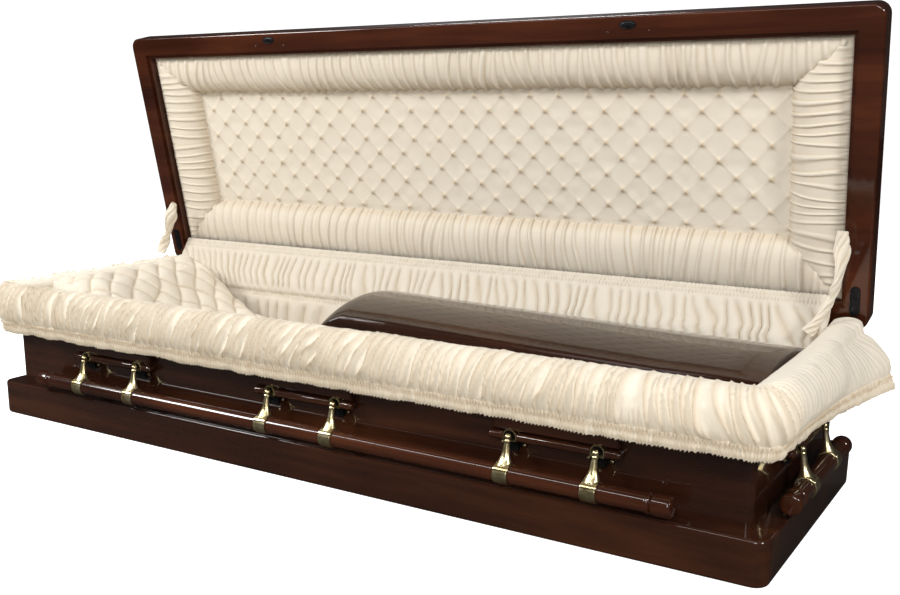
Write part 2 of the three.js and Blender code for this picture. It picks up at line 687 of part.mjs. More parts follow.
function addLidPadding(body, openX, w, inset) {
  const y0 = -w + inset;
  const y1 = -inset;
  const row = (share, z, radius) => {
    const side = ROLL_WIDTH * share;
    return roundRect(openX - side, y0 + ROLL_WIDTH_TOP * share, y1 - side, radius, z);
  };
  const crest = ROLL_RECESS;
  const fall = ROLL_DROP;
  const r = ROLL_CORNER_R;
  const rings = [
    row(0, LID_PAD_BACK, r / 8), row(0, crest + fall, r / 8), row(0.14, crest + fall / 6, r / 3),
    row(0.5, crest, r * 0.6), row(0.82, crest + fall, r * 0.8), row(1, TUFT_RECESS - fall / 3, r),
    row(1, LID_PAD_BACK, r),
  ];
  add(body, 'lid_roll', loft(rings, true), cloth);

  const seam = 1 + GAP / ROLL_WIDTH_TOP;
  const edge = TUFT_EDGE / ROLL_WIDTH_TOP;
  const panel = [
    row(seam, LID_PAD_BACK, r), row(seam, TUFT_RECESS + 2 * TUFT_CROWN, r), row(seam + edge, TUFT_RECESS, r),
    row(seam + 4 * edge, TUFT_RECESS - TUFT_CROWN, r),
  ];
  add(body, 'lid_tufted_panel', loft(panel), cloth);
}

function addHinges(lid) {
  const knuckle = HINGE_WIDTH / 3;
  const half = HINGE_WIDTH / 2;
  [-HINGE_X, 0, HINGE_X].forEach((x, i) => {
    const barrel = (x0, x1, y, z) => cylinderX(HINGE_BARREL_R, x + x0, x + x1, y, z, 10);
    const leafTop = hingeZ - HINGE_BARREL_R - HINGE_WEB;
    const webBottom = leafTop - 2 * HINGE_WEB;
    const y0 = rimY + GAP;
    const y1 = y0 + HINGE_LEAF + 2 * HINGE_LAP;
    const fixed = joined([
      box(x - half, x + half, y0, y0 + HINGE_LEAF, rimBottom, leafTop),
      box(x - half, x - knuckle / 2 - GAP, y0, y1, webBottom, hingeZ),
      box(x + knuckle / 2 + GAP, x + half, y0, y1, webBottom, hingeZ),
      barrel(-half, -knuckle / 2 - GAP, hingeY, hingeZ),
      barrel(knuckle / 2 + GAP, half, hingeY, hingeZ),
    ]);
    add(casket, `hinge_leaf_fixed_${i + 1}`, fixed, brass);

    const back = -lidBack + GAP;
    const leafStart = lidSeat + HINGE_WEB;
    const inner = knuckle / 2 - GAP;
    const moving = joined([
      box(x - half, x + half, back, back + HINGE_LEAF, leafStart, leafStart + HINGE_LEAF_LENGTH),
      box(x - inner, x + inner, back, back + HINGE_LEAF, 0, leafStart + 2 * HINGE_WEB),
      barrel(-inner, inner, 0, 0),
    ]);
    add(lid, `hinge_leaf_moving_${i + 1}`, moving, brass);
  });
}

addBase();
addWalls();
addRim();
addHandles();
addLinings();
addMattress();
addPillow();
addFootCover();
addOverthrow();
addSleeves();
addLid();

export default casket;
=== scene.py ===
import json
import math

import bmesh
import bpy
import numpy as np
from mathutils import Matrix, Vector


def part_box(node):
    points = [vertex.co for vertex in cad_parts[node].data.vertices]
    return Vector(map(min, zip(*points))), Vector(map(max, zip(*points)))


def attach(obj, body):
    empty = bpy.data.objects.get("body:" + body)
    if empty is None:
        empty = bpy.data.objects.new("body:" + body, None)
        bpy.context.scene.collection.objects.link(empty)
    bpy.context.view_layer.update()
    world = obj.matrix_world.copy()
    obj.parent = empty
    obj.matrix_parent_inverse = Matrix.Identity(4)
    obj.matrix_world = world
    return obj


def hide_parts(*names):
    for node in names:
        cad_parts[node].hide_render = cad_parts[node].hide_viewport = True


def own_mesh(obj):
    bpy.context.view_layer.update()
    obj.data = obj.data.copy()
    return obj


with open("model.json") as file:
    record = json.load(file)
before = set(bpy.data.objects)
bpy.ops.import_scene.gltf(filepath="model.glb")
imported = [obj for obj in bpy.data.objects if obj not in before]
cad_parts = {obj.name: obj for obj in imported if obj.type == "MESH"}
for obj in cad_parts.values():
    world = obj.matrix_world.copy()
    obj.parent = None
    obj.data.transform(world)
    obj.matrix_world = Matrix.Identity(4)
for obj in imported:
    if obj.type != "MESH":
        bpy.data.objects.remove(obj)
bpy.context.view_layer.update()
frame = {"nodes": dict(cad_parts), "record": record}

nodes = frame["nodes"]

# Camera and light

CAMERA_PLACE = (1.500, -2.1932, 0.8454)
CAMERA_TILT = math.radians(90 - 13.275)
CAMERA_TURN = math.radians(33.46)
CAMERA_LENS = 42.92
CAMERA_SHIFT = (0.0556, 0.0694)
FLOOR_SIZE = 60
SENSOR = 36


def studio():
    """The camera, a pale floor and the soft lights."""
    bpy.ops.object.camera_add(location=CAMERA_PLACE, rotation=(CAMERA_TILT, 0, CAMERA_TURN))
    camera = bpy.context.object
    camera.data.sensor_width = SENSOR
    camera.data.lens = CAMERA_LENS
    camera.data.shift_x, camera.data.shift_y = CAMERA_SHIFT
    bpy.context.scene.camera = camera
    bpy.context.scene.view_settings.view_transform = "Standard"

    bpy.ops.mesh.primitive_plane_add(size=FLOOR_SIZE, location=(0, 0, -0.0005))
    floor = bpy.context.object
    floor.name = "floor"
    pale = Paint("pale_floor", {"Roughness": 0.8})
    camera_ray = pale.node("ShaderNodeLightPath", {}, {}, "Is Camera Ray")
    glossy_ray = pale.node("ShaderNodeLightPath", {}, {}, "Is Glossy Ray")
    soft = pale.blend(glossy_ray, (0.50, 0.47, 0.41, 1), (0.022, 0.020, 0.018, 1))
    pale.feed("Base Color", pale.blend(camera_ray, soft, (0.90, 0.90, 0.90, 1)))
    glow = pale.node("ShaderNodeEmission", {}, {"Color": (1, 1, 1, 1), "Strength": 0.88})
    plain = Wire(pale, pale.shader.outputs[0])
    lit = pale.node("ShaderNodeAddShader", {}, {0: plain, 1: glow})
    mixed = pale.node("ShaderNodeMixShader", {}, {0: camera_ray, 1: plain, 2: lit})
    pale.tree.links.new(mixed.socket, pale.tree.nodes["Material Output"].inputs["Surface"])
    floor.data.materials.append(pale.material)

    world = bpy.context.scene.world or bpy.data.worlds.new("studio")
    bpy.context.scene.world = world
    world.use_nodes = True
    tree = world.node_tree
    seen = tree.nodes.new("ShaderNodeLightPath")
    ambient = tree.nodes["Background"]
    surface = ambient.outputs["Background"]
    for ray, strength in (("Is Glossy Ray", 0.025), ("Is Camera Ray", 1.15)):
        light = tree.nodes.new("ShaderNodeBackground")
        light.inputs["Color"].default_value = (1, 1, 1, 1)
        light.inputs["Strength"].default_value = strength
        choice = tree.nodes.new("ShaderNodeMixShader")
        tree.links.new(seen.outputs[ray], choice.inputs["Fac"])
        tree.links.new(surface, choice.inputs[1])
        tree.links.new(light.outputs["Background"], choice.inputs[2])
        surface = choice.outputs["Shader"]
    tree.links.new(surface, tree.nodes["World Output"].inputs["Surface"])
    ambient.inputs["Color"].default_value = (1.0, 0.955, 0.88, 1)
    ambient.inputs["Strength"].default_value = 0.24
    lamps = (  # place, what it looks at, width, height, watts
        ((-3.0, -2.4, 2.6), (-0.4, 0.1, 0.4), 0.9, 0.9, 100),
        ((1.7, -3.3, 1.9), (-0.5, -0.2, 0.3), 1.1, 1.1, 46),
        ((3.3, -1.3, 2.1), (0.5, 0.3, 0.6), 0.6, 0.6, 54),
        ((-1.1, -2.6, 3.2), (-0.3, 0, 0.2), 6.0, 0.22, 70),
        ((-1.6, 3.0, 3.9), (0, 0, 0.4), 1.6, 1.0, 95),
    )
    for place, target, width, height, watts in lamps:
        turn = (Vector(target) - Vector(place)).to_track_quat("-Z", "Y").to_euler()
        bpy.ops.object.light_add(type="AREA", location=place, rotation=turn)
        lamp = bpy.context.object.data
        lamp.shape = "RECTANGLE"
        lamp.size = width
        lamp.size_y = height
        lamp.energy = watts


# Materials

class Wire:
    """An output of a material's node, on which sums add Math nodes."""

    def __init__(self, paint, socket):
        self.paint = paint
        self.socket = socket


for sign, operation in (("add", "ADD"), ("sub", "SUBTRACT"), ("mul", "MULTIPLY"), ("pow", "POWER")):
    def forward(self, other, operation=operation):
        return self.paint.node("ShaderNodeMath", {"operation": operation}, {0: self, 1: other})

    def backward(self, other, operation=operation):
        return self.paint.node("ShaderNodeMath", {"operation": operation}, {0: other, 1: self})
    setattr(Wire, f"__{sign}__", forward)
    setattr(Wire, f"__r{sign}__", backward)


class Paint:
    """A material being made: plain values for its shader, then nodes."""

    def __init__(self, name, plain):
        self.material = bpy.data.materials.new(name)
        self.material.use_nodes = True
        self.tree = self.material.node_tree
        self.shader = self.tree.nodes["Principled BSDF"]
        for socket, value in plain.items():
            self.shader.inputs[socket].default_value = value

    def node(self, kind, settings, sockets, output=0):
        """Adds a node: its settings first, then the values or links of its sockets."""
        new = self.tree.nodes.new(kind)
        for key, value in settings.items():
            setattr(new, key, value)
        for key, value in sockets.items():
            if isinstance(value, Wire):
                self.tree.links.new(value.socket, new.inputs[key])
            else:
                new.inputs[key].default_value = value
        return Wire(self, new.outputs[output])

    def feed(self, socket, wire):
        self.tree.links.new(wire.socket, self.shader.inputs[socket])

    def place(self, scale=(1, 1, 1), turn=(0, 0, 0)):
        """Object coordinates, turned and then scaled."""
        where = self.node("ShaderNodeTexCoord", {}, {}, "Object")
        turned = self.node("ShaderNodeMapping", {}, {"Vector": where, "Rotation": turn})
        return self.node("ShaderNodeMapping", {}, {"Vector": turned, "Scale": scale})

    def noise(self, where, scale, detail=2.0, distortion=0.0):
        return self.node("ShaderNodeTexNoise", {},
                         {"Vector": where, "Scale": scale, "Detail": detail, "Distortion": distortion})

    def blend(self, factor, a, b):
        """A mix of two colours."""
        return self.node("ShaderNodeMix", {"data_type": "RGBA"}, {0: factor, 6: a, 7: b}, 2)

    def ramp(self, factor, *stops):
        """Colours from (position, colour) stops."""
        wire = self.node("ShaderNodeValToRGB", {}, {"Fac": factor})
        elements = wire.socket.node.color_ramp.elements
        while len(elements) < len(stops):
            elements.new(0.5)
        for element, (position, colour) in zip(elements, stops):
            element.position = position
            element.color = (*colour, 1)
        return wire

    def finish(self, colour, roughness, height, strength, distance):
        """Feeds the shader its colour, roughness and bump, and gives the material back."""
        self.feed("Base Color", colour)
        self.feed("Roughness", roughness)
        normal = self.node("ShaderNodeBump", {}, {"Height": height, "Strength": strength, "Distance": distance})
        self.feed("Normal", normal)
        return self.material


LID_OPEN = math.radians(78)


def mahogany(name, along, lid=False, red=0.0):
    """Dark mahogany under a thick clear lacquer, with its grain along one axis."""
    paint = Paint(name, {"Coat Weight": 1.0, "Coat Roughness": 0.055, "Coat IOR": 1.5, "IOR": 1.45,
                         "Specular IOR Level": 0.06})
    turn = (LID_OPEN if lid else 0, 0, 0)
    long_way = [1.0, 1.0, 1.0]
    long_way["XYZ".index(along)] = 0.07
    where = paint.place(long_way, turn)
    figure = paint.noise(where, 9.0, 5.0, 1.4)
    streak = paint.noise(where, 55.0, 3.0, 0.3)
    pores = paint.noise(where, 420.0, 2.0)
    broad = paint.noise(paint.place(turn=turn), 2.2, 2.0)
    tone = figure * 0.5 + streak * 0.2 + broad * 0.3
    dark = (0.0088 + 0.006 * red, 0.0030, 0.0015)
    middle = (0.026 + 0.026 * red, 0.0080 + 0.004 * red, 0.0036 + 0.001 * red)
    light = (0.066 + 0.045 * red, 0.0205 + 0.008 * red, 0.0078 + 0.002 * red)
    colour = paint.ramp(tone, (0.30, dark), (0.50, middle), (0.72, light))
    shaded = paint.blend((pores - 0.5) * 0.9, colour, (0.006, 0.002, 0.0012, 1))
    return paint.finish(shaded, 0.34 + pores * 0.16, broad, 0.03, 0.0010)


def timber(name, lid=False, red=0.0):
    """The same mahogany twice, with its grain along X and along Y."""
    return [mahogany(name + way, axis, lid, red) for way, axis in (("_long", "X"), ("_across", "Y"))]


def plain_wood(name):
    """Unpolished brown wood inside."""
    paint = Paint(name, {"Coat Weight": 0.15, "Coat Roughness": 0.4})
    where = paint.place((0.08, 1, 1))
    figure = paint.noise(where, 18.0, 5.0, 0.8)
    fine = paint.noise(where, 220.0, 2.0)
    colour = paint.ramp(figure * 0.7 + fine * 0.3, (0.3, (0.12, 0.055, 0.028)), (0.55, (0.20, 0.10, 0.052)),
                        (0.75, (0.29, 0.16, 0.09)))
    return paint.finish(colour, 0.55 + fine * 0.2, fine, 0.2, 0.0004)


def brass(name):
    """Pale polished brass, a little uneven where it has been handled."""
    paint = Paint(name, {"Metallic": 1.0})
    where = paint.place()
    cloud = paint.noise(where, 60.0, 3.0)
    fine = paint.noise(where, 900.0, 2.0)
    colour = paint.ramp(cloud, (0.3, (0.60, 0.47, 0.22)), (0.55, (0.80, 0.68, 0.40)), (0.75, (0.88, 0.79, 0.55)))
    return paint.finish(colour, 0.20 + cloud * 0.16 + fine * 0.05, fine, 0.08, 0.0002)


def dark_metal(name):
    """Blackened steel with scuffs."""
    paint = Paint(name, {"Metallic": 0.85})
    where = paint.place()
    scuff = paint.noise(where, 240.0, 4.0, 1.0)
    colour = paint.ramp(scuff, (0.35, (0.010, 0.010, 0.011)), (0.62, (0.03, 0.03, 0.032)), (0.8, (0.16, 0.16, 0.17)))
    return paint.finish(colour, 0.28 + scuff * 0.3, scuff, 0.3, 0.0005)


IVORY = (0.80, 0.735, 0.625)
SHADE_TAN = (0.50, 0.365, 0.215)


def crepe(name, tone=1.0):
    """Ivory crepe. The attribute called fold is 1 on the crests and 0 deep between them, and the colour paints shade
    there, turning tan where fold is low. A tone below 1 gives a darker copy as painted shade.
    """
    # tone darkens every colour: painted shade for cloth that lies in shadow
    ivory, crease_shade, cream, shade = [tuple(tone * c for c in colour) + (1,) for colour in (
        IVORY, SHADE_TAN, (0.76, 0.665, 0.52), (0.66, 0.56, 0.42))]
    paint = Paint(name, {"Sheen Weight": 0.15, "Sheen Roughness": 0.5, "Roughness": 0.9})
    fold = paint.node("ShaderNodeAttribute", {"attribute_name": "fold"}, {}, "Fac")
    deep = (1 - fold) ** 1.35
    where = paint.place()
    cloud = paint.noise(where, 7.0, 3.0)
    grain = paint.noise(where, 850.0, 3.0, 0.6)
    # Painted shade: the cloth turns from ivory to tan deep in folds, puckers and tufts.
    base = paint.blend(deep * 0.96, ivory, crease_shade)
    warm = paint.blend(cloud * 0.22, base, cream)
    colour = paint.blend(grain * 0.16, warm, shade)
    return paint.finish(colour, 0.84 + grain * 0.14, grain, 0.55, 0.0006)


# Modelling helpers

def pick(obj, kind="FACE", test=lambda item: True):
    """In edit mode, selects the vertices, edges or faces that pass the test, or all, and nothing else."""
    bpy.context.view_layer.objects.active = obj
    bpy.ops.object.mode_set(mode="EDIT")
    bpy.ops.mesh.select_mode(type=kind)
    bpy.ops.mesh.select_all(action="DESELECT")
    shape = bmesh.from_edit_mesh(obj.data)
    for item in {"VERT": shape.verts, "EDGE": shape.edges, "FACE": shape.faces}[kind]:
        item.select_set(test(item))
    bmesh.update_edit_mesh(obj.data)


def leave():
    bpy.ops.object.mode_set(mode="OBJECT")


def rounded(obj, offset, segments, test=lambda item: True):
    """Rounds the edges that pass the test."""
    pick(obj, "EDGE", test)
    bpy.ops.mesh.bevel(offset=offset, segments=segments, affect="EDGES")
    leave()


def halved(obj, at, normal, **cut):
    """Cuts all faces by a plane."""
    pick(obj)
    bpy.ops.mesh.bisect(plane_co=at, plane_no=normal, **cut)
    leave()


def drawn(obj, way):
    """Draws the whole face out into a solid."""
    pick(obj)
    extrude(way)
    leave()


def extrude(way):
    bpy.ops.mesh.extrude_region_move(TRANSFORM_OT_translate={"value": way})


def tilt_up(obj):
    """Turns the faces of an open shell so that the highest one looks up."""
    if max(obj.data.polygons, key=lambda f: f.center.z).normal.z < 0:
        pick(obj)
        bpy.ops.mesh.flip_normals()
        leave()


def only(obj):
    """Leaves edit mode and selects one object."""
    if bpy.context.object and bpy.context.object.mode != "OBJECT":
        leave()
    bpy.ops.object.select_all(action="DESELECT")
    obj.select_set(True)
    bpy.context.view_layer.objects.active = obj


def settle(name):
    """Names the new active object and puts its place into its mesh."""
    obj = bpy.context.object
    obj.name = name
    only(obj)
    bpy.ops.object.transform_apply(location=True, rotation=True, scale=True)
    return obj


def apply_modifier(obj, kind, **settings):
    only(obj)
    modifier = obj.modifiers.new(kind.lower(), kind)
    for key, value in settings.items():
        setattr(modifier, key, value)
    bpy.ops.object.modifier_apply(modifier=modifier.name)


def outward(obj, merge=0.00002):
    """Merges doubles and points the faces outwards."""
    pick(obj)
    bpy.ops.mesh.remove_doubles(threshold=merge)
    bpy.ops.mesh.normals_make_consistent(inside=False)
    leave()


def smooth(obj, degrees=35):
    only(obj)
    bpy.ops.object.shade_smooth_by_angle(angle=math.radians(degrees))


def block(name, low, high, bevel=0.0, segments=3):
    """A board between two corners, with rounded edges."""
    low, high = Vector(low), Vector(high)
    bpy.ops.mesh.primitive_cube_add(size=1, location=(low + high) / 2, scale=high - low)
    obj = settle(name)
    if bevel:
        apply_modifier(obj, "BEVEL", width=bevel, segments=segments, limit_method="ANGLE")
    smooth(obj)
    return obj


def tube_section(name, stations, sides=32):
    """A piece along Z: an oval drawn out and resized from one (half width, half depth, height) to the next."""
    wide, deep, height = stations[0]
    bpy.ops.mesh.primitive_circle_add(vertices=sides, radius=wide, fill_type="NGON", location=(0, 0, height))
    bpy.context.object.scale.y = deep / wide
    obj = settle(name)
    pick(obj)
    for next_wide, next_deep, next_height in stations[1:]:
        extrude((0, 0, next_height - height))
        bpy.ops.transform.resize(value=(next_wide / wide, next_deep / deep, 1), center_override=(0, 0, next_height))
        wide, deep, height = next_wide, next_deep, next_height
    leave()
    outward(obj)
    return obj


def turned(name, stations, sides=32):
    """A turned piece along Z, from (radius, height) stations."""
    return tube_section(name, [(radius, radius, height) for radius, height in stations], sides)


def ball(name, radius, place, segments, rings, scale=(1, 1, 1)):
    bpy.ops.mesh.primitive_uv_sphere_add(segments=segments, ring_count=rings, radius=radius, location=place,
                                         scale=scale)
    return settle(name)


def mirrored(stations):
    """A profile of (radius, height) followed by its mirror image."""
    return stations + [(radius, -height) for radius, height in reversed(stations)]


def merged(name, parts):
    """Several objects made one."""
    only(parts[0])
    for part in parts:
        part.select_set(True)
    bpy.ops.object.join()
    parts[0].name = name
    return parts[0]


def copied(obj, name, matrix):
    """A copy with its own mesh, put in place by a matrix."""
    new = obj.copy()
    new.data = obj.data.copy()
    new.name = name
    bpy.context.scene.collection.objects.link(new)
    new.data.transform(matrix)
    return new


def dress(obj, materials, body, replaces=()):
    """Gives a finished piece its materials, its body and the nodes it stands for."""
    obj.data.materials.clear()
    for material in materials:
        obj.data.materials.append(material)
    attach(obj, body)
    if replaces:
        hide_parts(*replaces)
    return obj


def step_cap(obj, facing, steps):
    """Draws the cap that faces up (1) or down (-1) through (inset, rise) steps."""
    largest = max(f.area for f in obj.data.polygons if f.normal.z * facing > 0.9)
    pick(obj, "FACE", lambda f: f.normal.z * facing > 0.9 and f.calc_area() > largest * 0.999)
    for inset, rise in steps:
        bpy.ops.mesh.inset(thickness=inset, depth=rise * facing)
    leave()


def rounded_slab(name, half_x, y0, y1, corner, z0, z1):
    """A slab with rounded upright corners."""
    bpy.ops.mesh.primitive_plane_add(size=1, location=(0, (y0 + y1) / 2, z0), scale=(2 * half_x, y1 - y0, 1))
    bpy.context.object.scale = (2 * half_x, y1 - y0, 1)
    obj = settle(name)
    pick(obj, "VERT")
    bpy.ops.mesh.bevel(offset=corner, segments=8, affect="VERTICES")
    leave()
    drawn(obj, (0, 0, z1 - z0))
    outward(obj)
    return obj


def cut_away(obj, low, high):
    """Cuts a box-shaped opening."""
    cutter = block("cutter", low, high)
    apply_modifier(obj, "BOOLEAN", operation="DIFFERENCE", object=cutter, solver="EXACT")
    bpy.data.objects.remove(cutter)


def picture_frame(name, half_x, y0, y1, corner, z0, z1, width, edge, step=None):
    """A flat frame with rounded upright corners and long edges and a square opening. step is the width and
    depth of a rebate around the opening, on the lower side. The short members are cut off at 45 degrees and
    take the second material."""
    obj = rounded_slab(name, half_x, y0, y1, corner, z0, z1)
    rounded(obj, edge, 4, lambda e: abs(e.verts[0].co.z - e.verts[1].co.z) < 1e-6)
    inner_x, low_y, high_y = half_x - width, y0 + width, y1 - width
    cut_away(obj, (-inner_x, low_y, z0 - 0.1), (inner_x, high_y, z1 + 0.1))
    if step:
        wide, deep = step
        cut_away(obj, (-inner_x - wide, low_y - wide, z0 - 0.1), (inner_x + wide, high_y + wide, z0 + deep))
    for x, y, along in ((half_x, y0, 1), (-half_x, y0, -1), (half_x, y1, -1), (-half_x, y1, 1)):
        halved(obj, (x, y, 0), (1, along, 0))
    outward(obj, 0.0001)
    for face in obj.data.polygons:
        x, y = face.center.x, face.center.y
        face.material_index = 1 if half_x - abs(x) < min(y - y0, y1 - y) else 0
    smooth(obj, 30)
    apply_modifier(obj, "WEIGHTED_NORMAL", weight=90, keep_sharp=True)
    return obj


# Casket box

def moulding(node, name, corner, edge):
    """A moulding all around the box, as wide as from its outside to the walls' inside."""
    low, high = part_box(node)
    width = high.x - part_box("foot_wall")[0].x
    obj = picture_frame(name, high.x, low.y, high.y, corner, low.z, high.z, width, edge)
    dress(obj, WOOD, "casket", [node])


def walls():
    """Four boards, of which the long ones are rounded at the casket's corners."""
    for name in ("front_wall", "back_wall", "head_wall", "foot_wall"):
        low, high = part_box(name)
        obj = block(name + "_board", low, high)
        long_side = name in ("front_wall", "back_wall")
        if long_side:
            out = low.y if name == "front_wall" else high.y
            rounded(obj, 0.012, 6, lambda e: all(abs(v.co.y - out) < 1e-5 for v in e.verts)
                    and abs(e.verts[0].co.x - e.verts[1].co.x) < 1e-5)
            smooth(obj)
        dress(obj, [WOOD[0 if long_side else 1]], "casket", [name])


# Cloth

def run_along(points):
    """The distance of each point from the first, along the line through them."""
    return np.concatenate([[0], np.cumsum(np.linalg.norm(np.diff(points, axis=0), axis=1))])


def curve(points, count):
    """Evenly spread points on a smooth curve through the given ones."""
    p = np.array(points, float)
    padded = np.vstack([2 * p[0] - p[1], p, 2 * p[-1] - p[-2]])
    fine = []
    for i in range(len(p) - 1):
        a, b, c, d = padded[i:i + 4]
        for t in np.linspace(0, 1, 40, endpoint=False):
            fine.append(0.5 * (2 * b + (c - a) * t + (2 * a - 5 * b + 4 * c - d) * t ** 2
                               + (3 * b - a - 3 * c + d) * t ** 3))
    fine = np.array([*fine, p[-1]])
    run = run_along(fine)
    even = np.linspace(0, run[-1], count)
    return np.column_stack([np.interp(even, run, fine[:, k]) for k in range(p.shape[1])])


def clouds(s, v, cell_s, cell_v, seed):
    """Smooth random values from -1 to 1 over a strip of cloth."""
    table = np.random.default_rng(seed).uniform(-1, 1, (131, 113))
    a, b = s / cell_s + 500, v / cell_v + 500
    i, j = np.floor(a).astype(int), np.floor(b).astype(int)
    fa, fb = a - i, b - j
    fa, fb = fa * fa * (3 - 2 * fa), fb * fb * (3 - 2 * fb)

    def at(di, dj):
        return table[(i + di) % 131, (j + dj) % 113]
    low = at(0, 0) * (1 - fa) + at(1, 0) * fa
    high = at(0, 1) * (1 - fa) + at(1, 1) * fa
    return low * (1 - fb) + high * fb


def gathers(s, v, pitch, seed, shear=0.0, wander=0.55, sharp=0.62, fade=0.45, length=0.10, lean=0.0):
    """Folds from 0 to 1 across a strip, s along it and v down it: round crests with sharp valleys that
    wander, fade and run into each other. With lean one side of each fold is steeper."""
    phase = (s + shear * v) / pitch
    phase = phase + wander * clouds(s, v, 2.1 * pitch, length, seed)
    phase = phase + 0.5 * wander * clouds(s, v, 1.1 * pitch, 1.7 * length, seed + 1)
    phase = phase + lean * np.sin(2 * np.pi * phase) / (2 * np.pi)
    crest = np.abs(np.sin(np.pi * phase)) ** sharp
    strength = 1 - fade * (0.5 + 0.5 * clouds(s, v, 1.6 * pitch, 1.2 * length, seed + 2))
    return 1 - (1 - crest) * strength


def pleats(s, v, pitch, seed):
    """Narrow raised pleats with flat cloth between them: their height from 0 to 1, and how close a point is
    to the foot of one."""
    wide, wander, fade, length = 0.15, 0.60, 0.45, 0.2
    phase = s / pitch + wander * clouds(s, v, 2.3 * pitch, length, seed)
    phase = phase + 0.3 * wander * clouds(s, v, 1.2 * pitch, 0.5 * length, seed + 1)
    near = np.abs(phase - np.round(phase)) / (wide * (1 + 0.35 * clouds(s, 0 * v, 1.5 * pitch, 1, seed + 2)))
    strength = 1 - fade * (0.5 + 0.5 * clouds(s, v, 1.4 * pitch, length, seed + 3))
    return np.exp(-near ** 2.6) * strength, np.exp(-((near - 1.25) / 0.45) ** 2) * strength


def smocking(s, down, rows, pitch, seed):
    """Rows of small stitched puckers, from 0 to 1."""
    phase = s / pitch + 0.35 * clouds(s, down, 3 * pitch, 0.02, seed)
    marks = 0
    for number, row in enumerate(rows):
        stitch = 0.5 + 0.5 * np.cos(2 * np.pi * (phase + 0.5 * number))
        marks = marks + np.exp(-((down - row) / 0.0030) ** 2) * stitch
    return marks


def store_painted_shade(mesh, shade):
    """Stores each point's painted shade, low deep in folds, puckers and tufts, as the attribute fold that the cloth's
    colour reads.
    """
    fold = mesh.attributes.new("fold", "FLOAT", "POINT")
    fold.data.foreach_set("value", np.clip(shade, 0, 1).astype(np.float32).ravel())


def cloth(name, grid, height, shade, facing=1):
    """A sheet through a grid of points, pushed out along its own normals. shade is 0 to 1, deep to crest."""
    rows, columns = grid.shape[:2]
    along = np.gradient(grid, axis=0)
    down = np.gradient(grid, axis=1)
    normal = np.cross(along, down) * facing
    normal /= np.maximum(np.linalg.norm(normal, axis=2, keepdims=True), 1e-12)
    points = grid + normal * height[..., None]
    index = np.arange(rows * columns).reshape(rows, columns)
    faces = np.stack([index[:-1, :-1], index[1:, :-1], index[1:, 1:], index[:-1, 1:]], axis=-1).reshape(-1, 4)
    if facing < 0:
        faces = faces[:, ::-1]
    mesh = bpy.data.meshes.new(name)
    mesh.from_pydata(points.reshape(-1, 3).tolist(), [], faces.tolist())
    store_painted_shade(mesh, shade)
    mesh.shade_smooth()
    obj = bpy.data.objects.new(name, mesh)
    bpy.context.scene.collection.objects.link(obj)
    return obj


def between(x, low, high):
    """0 below low, 1 above high and smooth in between."""
    t = np.clip((x - low) / (high - low), 0, 1)
    return t * t * (3 - 2 * t)


# Handles: drawn on a wall whose face is y = 0 and which faces -y, then copied to the four walls

WALL_Y = -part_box("front_wall")[0].y
WALL_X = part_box("foot_wall")[1].x
ARM_AT = 0.095
PIVOT_Z = 0.196
PIVOT_OUT = 0.030
BAR_Z = 0.123
BAR_OUT = 0.045
BAR_R = 0.019
PANEL_PITCH = 0.633
ON_BAR = Matrix.Translation((0, -BAR_OUT, BAR_Z)) @ Matrix.Rotation(math.pi / 2, 4, "Y")  # from Z to the bar
WALL_TURNS = (("front", 0, WALL_Y), ("back", 2, WALL_Y), ("head", 3, WALL_X), ("foot", 1, WALL_X))


def on_wall(quarter, out, x=0.0):
    """Puts what is drawn on the front onto a wall, x along from its middle."""
    turn = Matrix.Rotation(quarter * math.pi / 2, 4, "Z")
    return turn @ Matrix.Translation((x, -out, 0))


def panel_wood():
    """The raised field and the ledge with its round nose, open where the arms hang."""
    field = block("field", (-0.137, -0.020, 0.2068), (0.137, -0.0003, 0.3177))
    rounded(field, 0.006, 5, lambda e: all(v.co.y < -0.019 for v in e.verts) and min(v.co.z for v in e.verts) < 0.3)
    backing = block("backing", (-0.136, -0.009, 0.200), (0.136, -0.0003, 0.21))
    parts = [field, backing]
    gap = 0.0135
    for low, high in ((-0.145, -ARM_AT - gap), (-ARM_AT + gap, ARM_AT - gap), (ARM_AT + gap, 0.145)):
        ledge = block("ledge", (low, -0.027, 0.186), (high, -0.0003, 0.203))
        end = max(abs(low), abs(high))
        pick(ledge, "EDGE", lambda e: all(v.co.y < -0.026 for v in e.verts)
             or (end > 0.14 and all(abs(v.co.x) > 0.144 for v in e.verts) and max(v.co.y for v in e.verts) < -0.0002))
        bpy.ops.mesh.bevel(offset=0.0078, segments=6, affect="EDGES", clamp_overlap=True)
        leave()
        parts.append(ledge)
    wood = merged("panel", parts)
    smooth(wood, 40)
    return wood


def arch(name, half, top, bottom, y0, y1):
    """A plate with a round top, between y0 and y1."""
    bpy.ops.mesh.primitive_circle_add(vertices=64, radius=half, fill_type="NGON",
                                      location=(0, y0, top - half), rotation=(math.pi / 2, 0, 0))
    obj = settle(name)
    pick(obj, "VERT", lambda v: v.co.z < top - half - 1e-5)
    bpy.ops.transform.resize(value=(1, 1, 0), center_override=(0, 0, bottom))
    leave()
    drawn(obj, (0, y1 - y0, 0))
    outward(obj, 0.0003)
    return obj


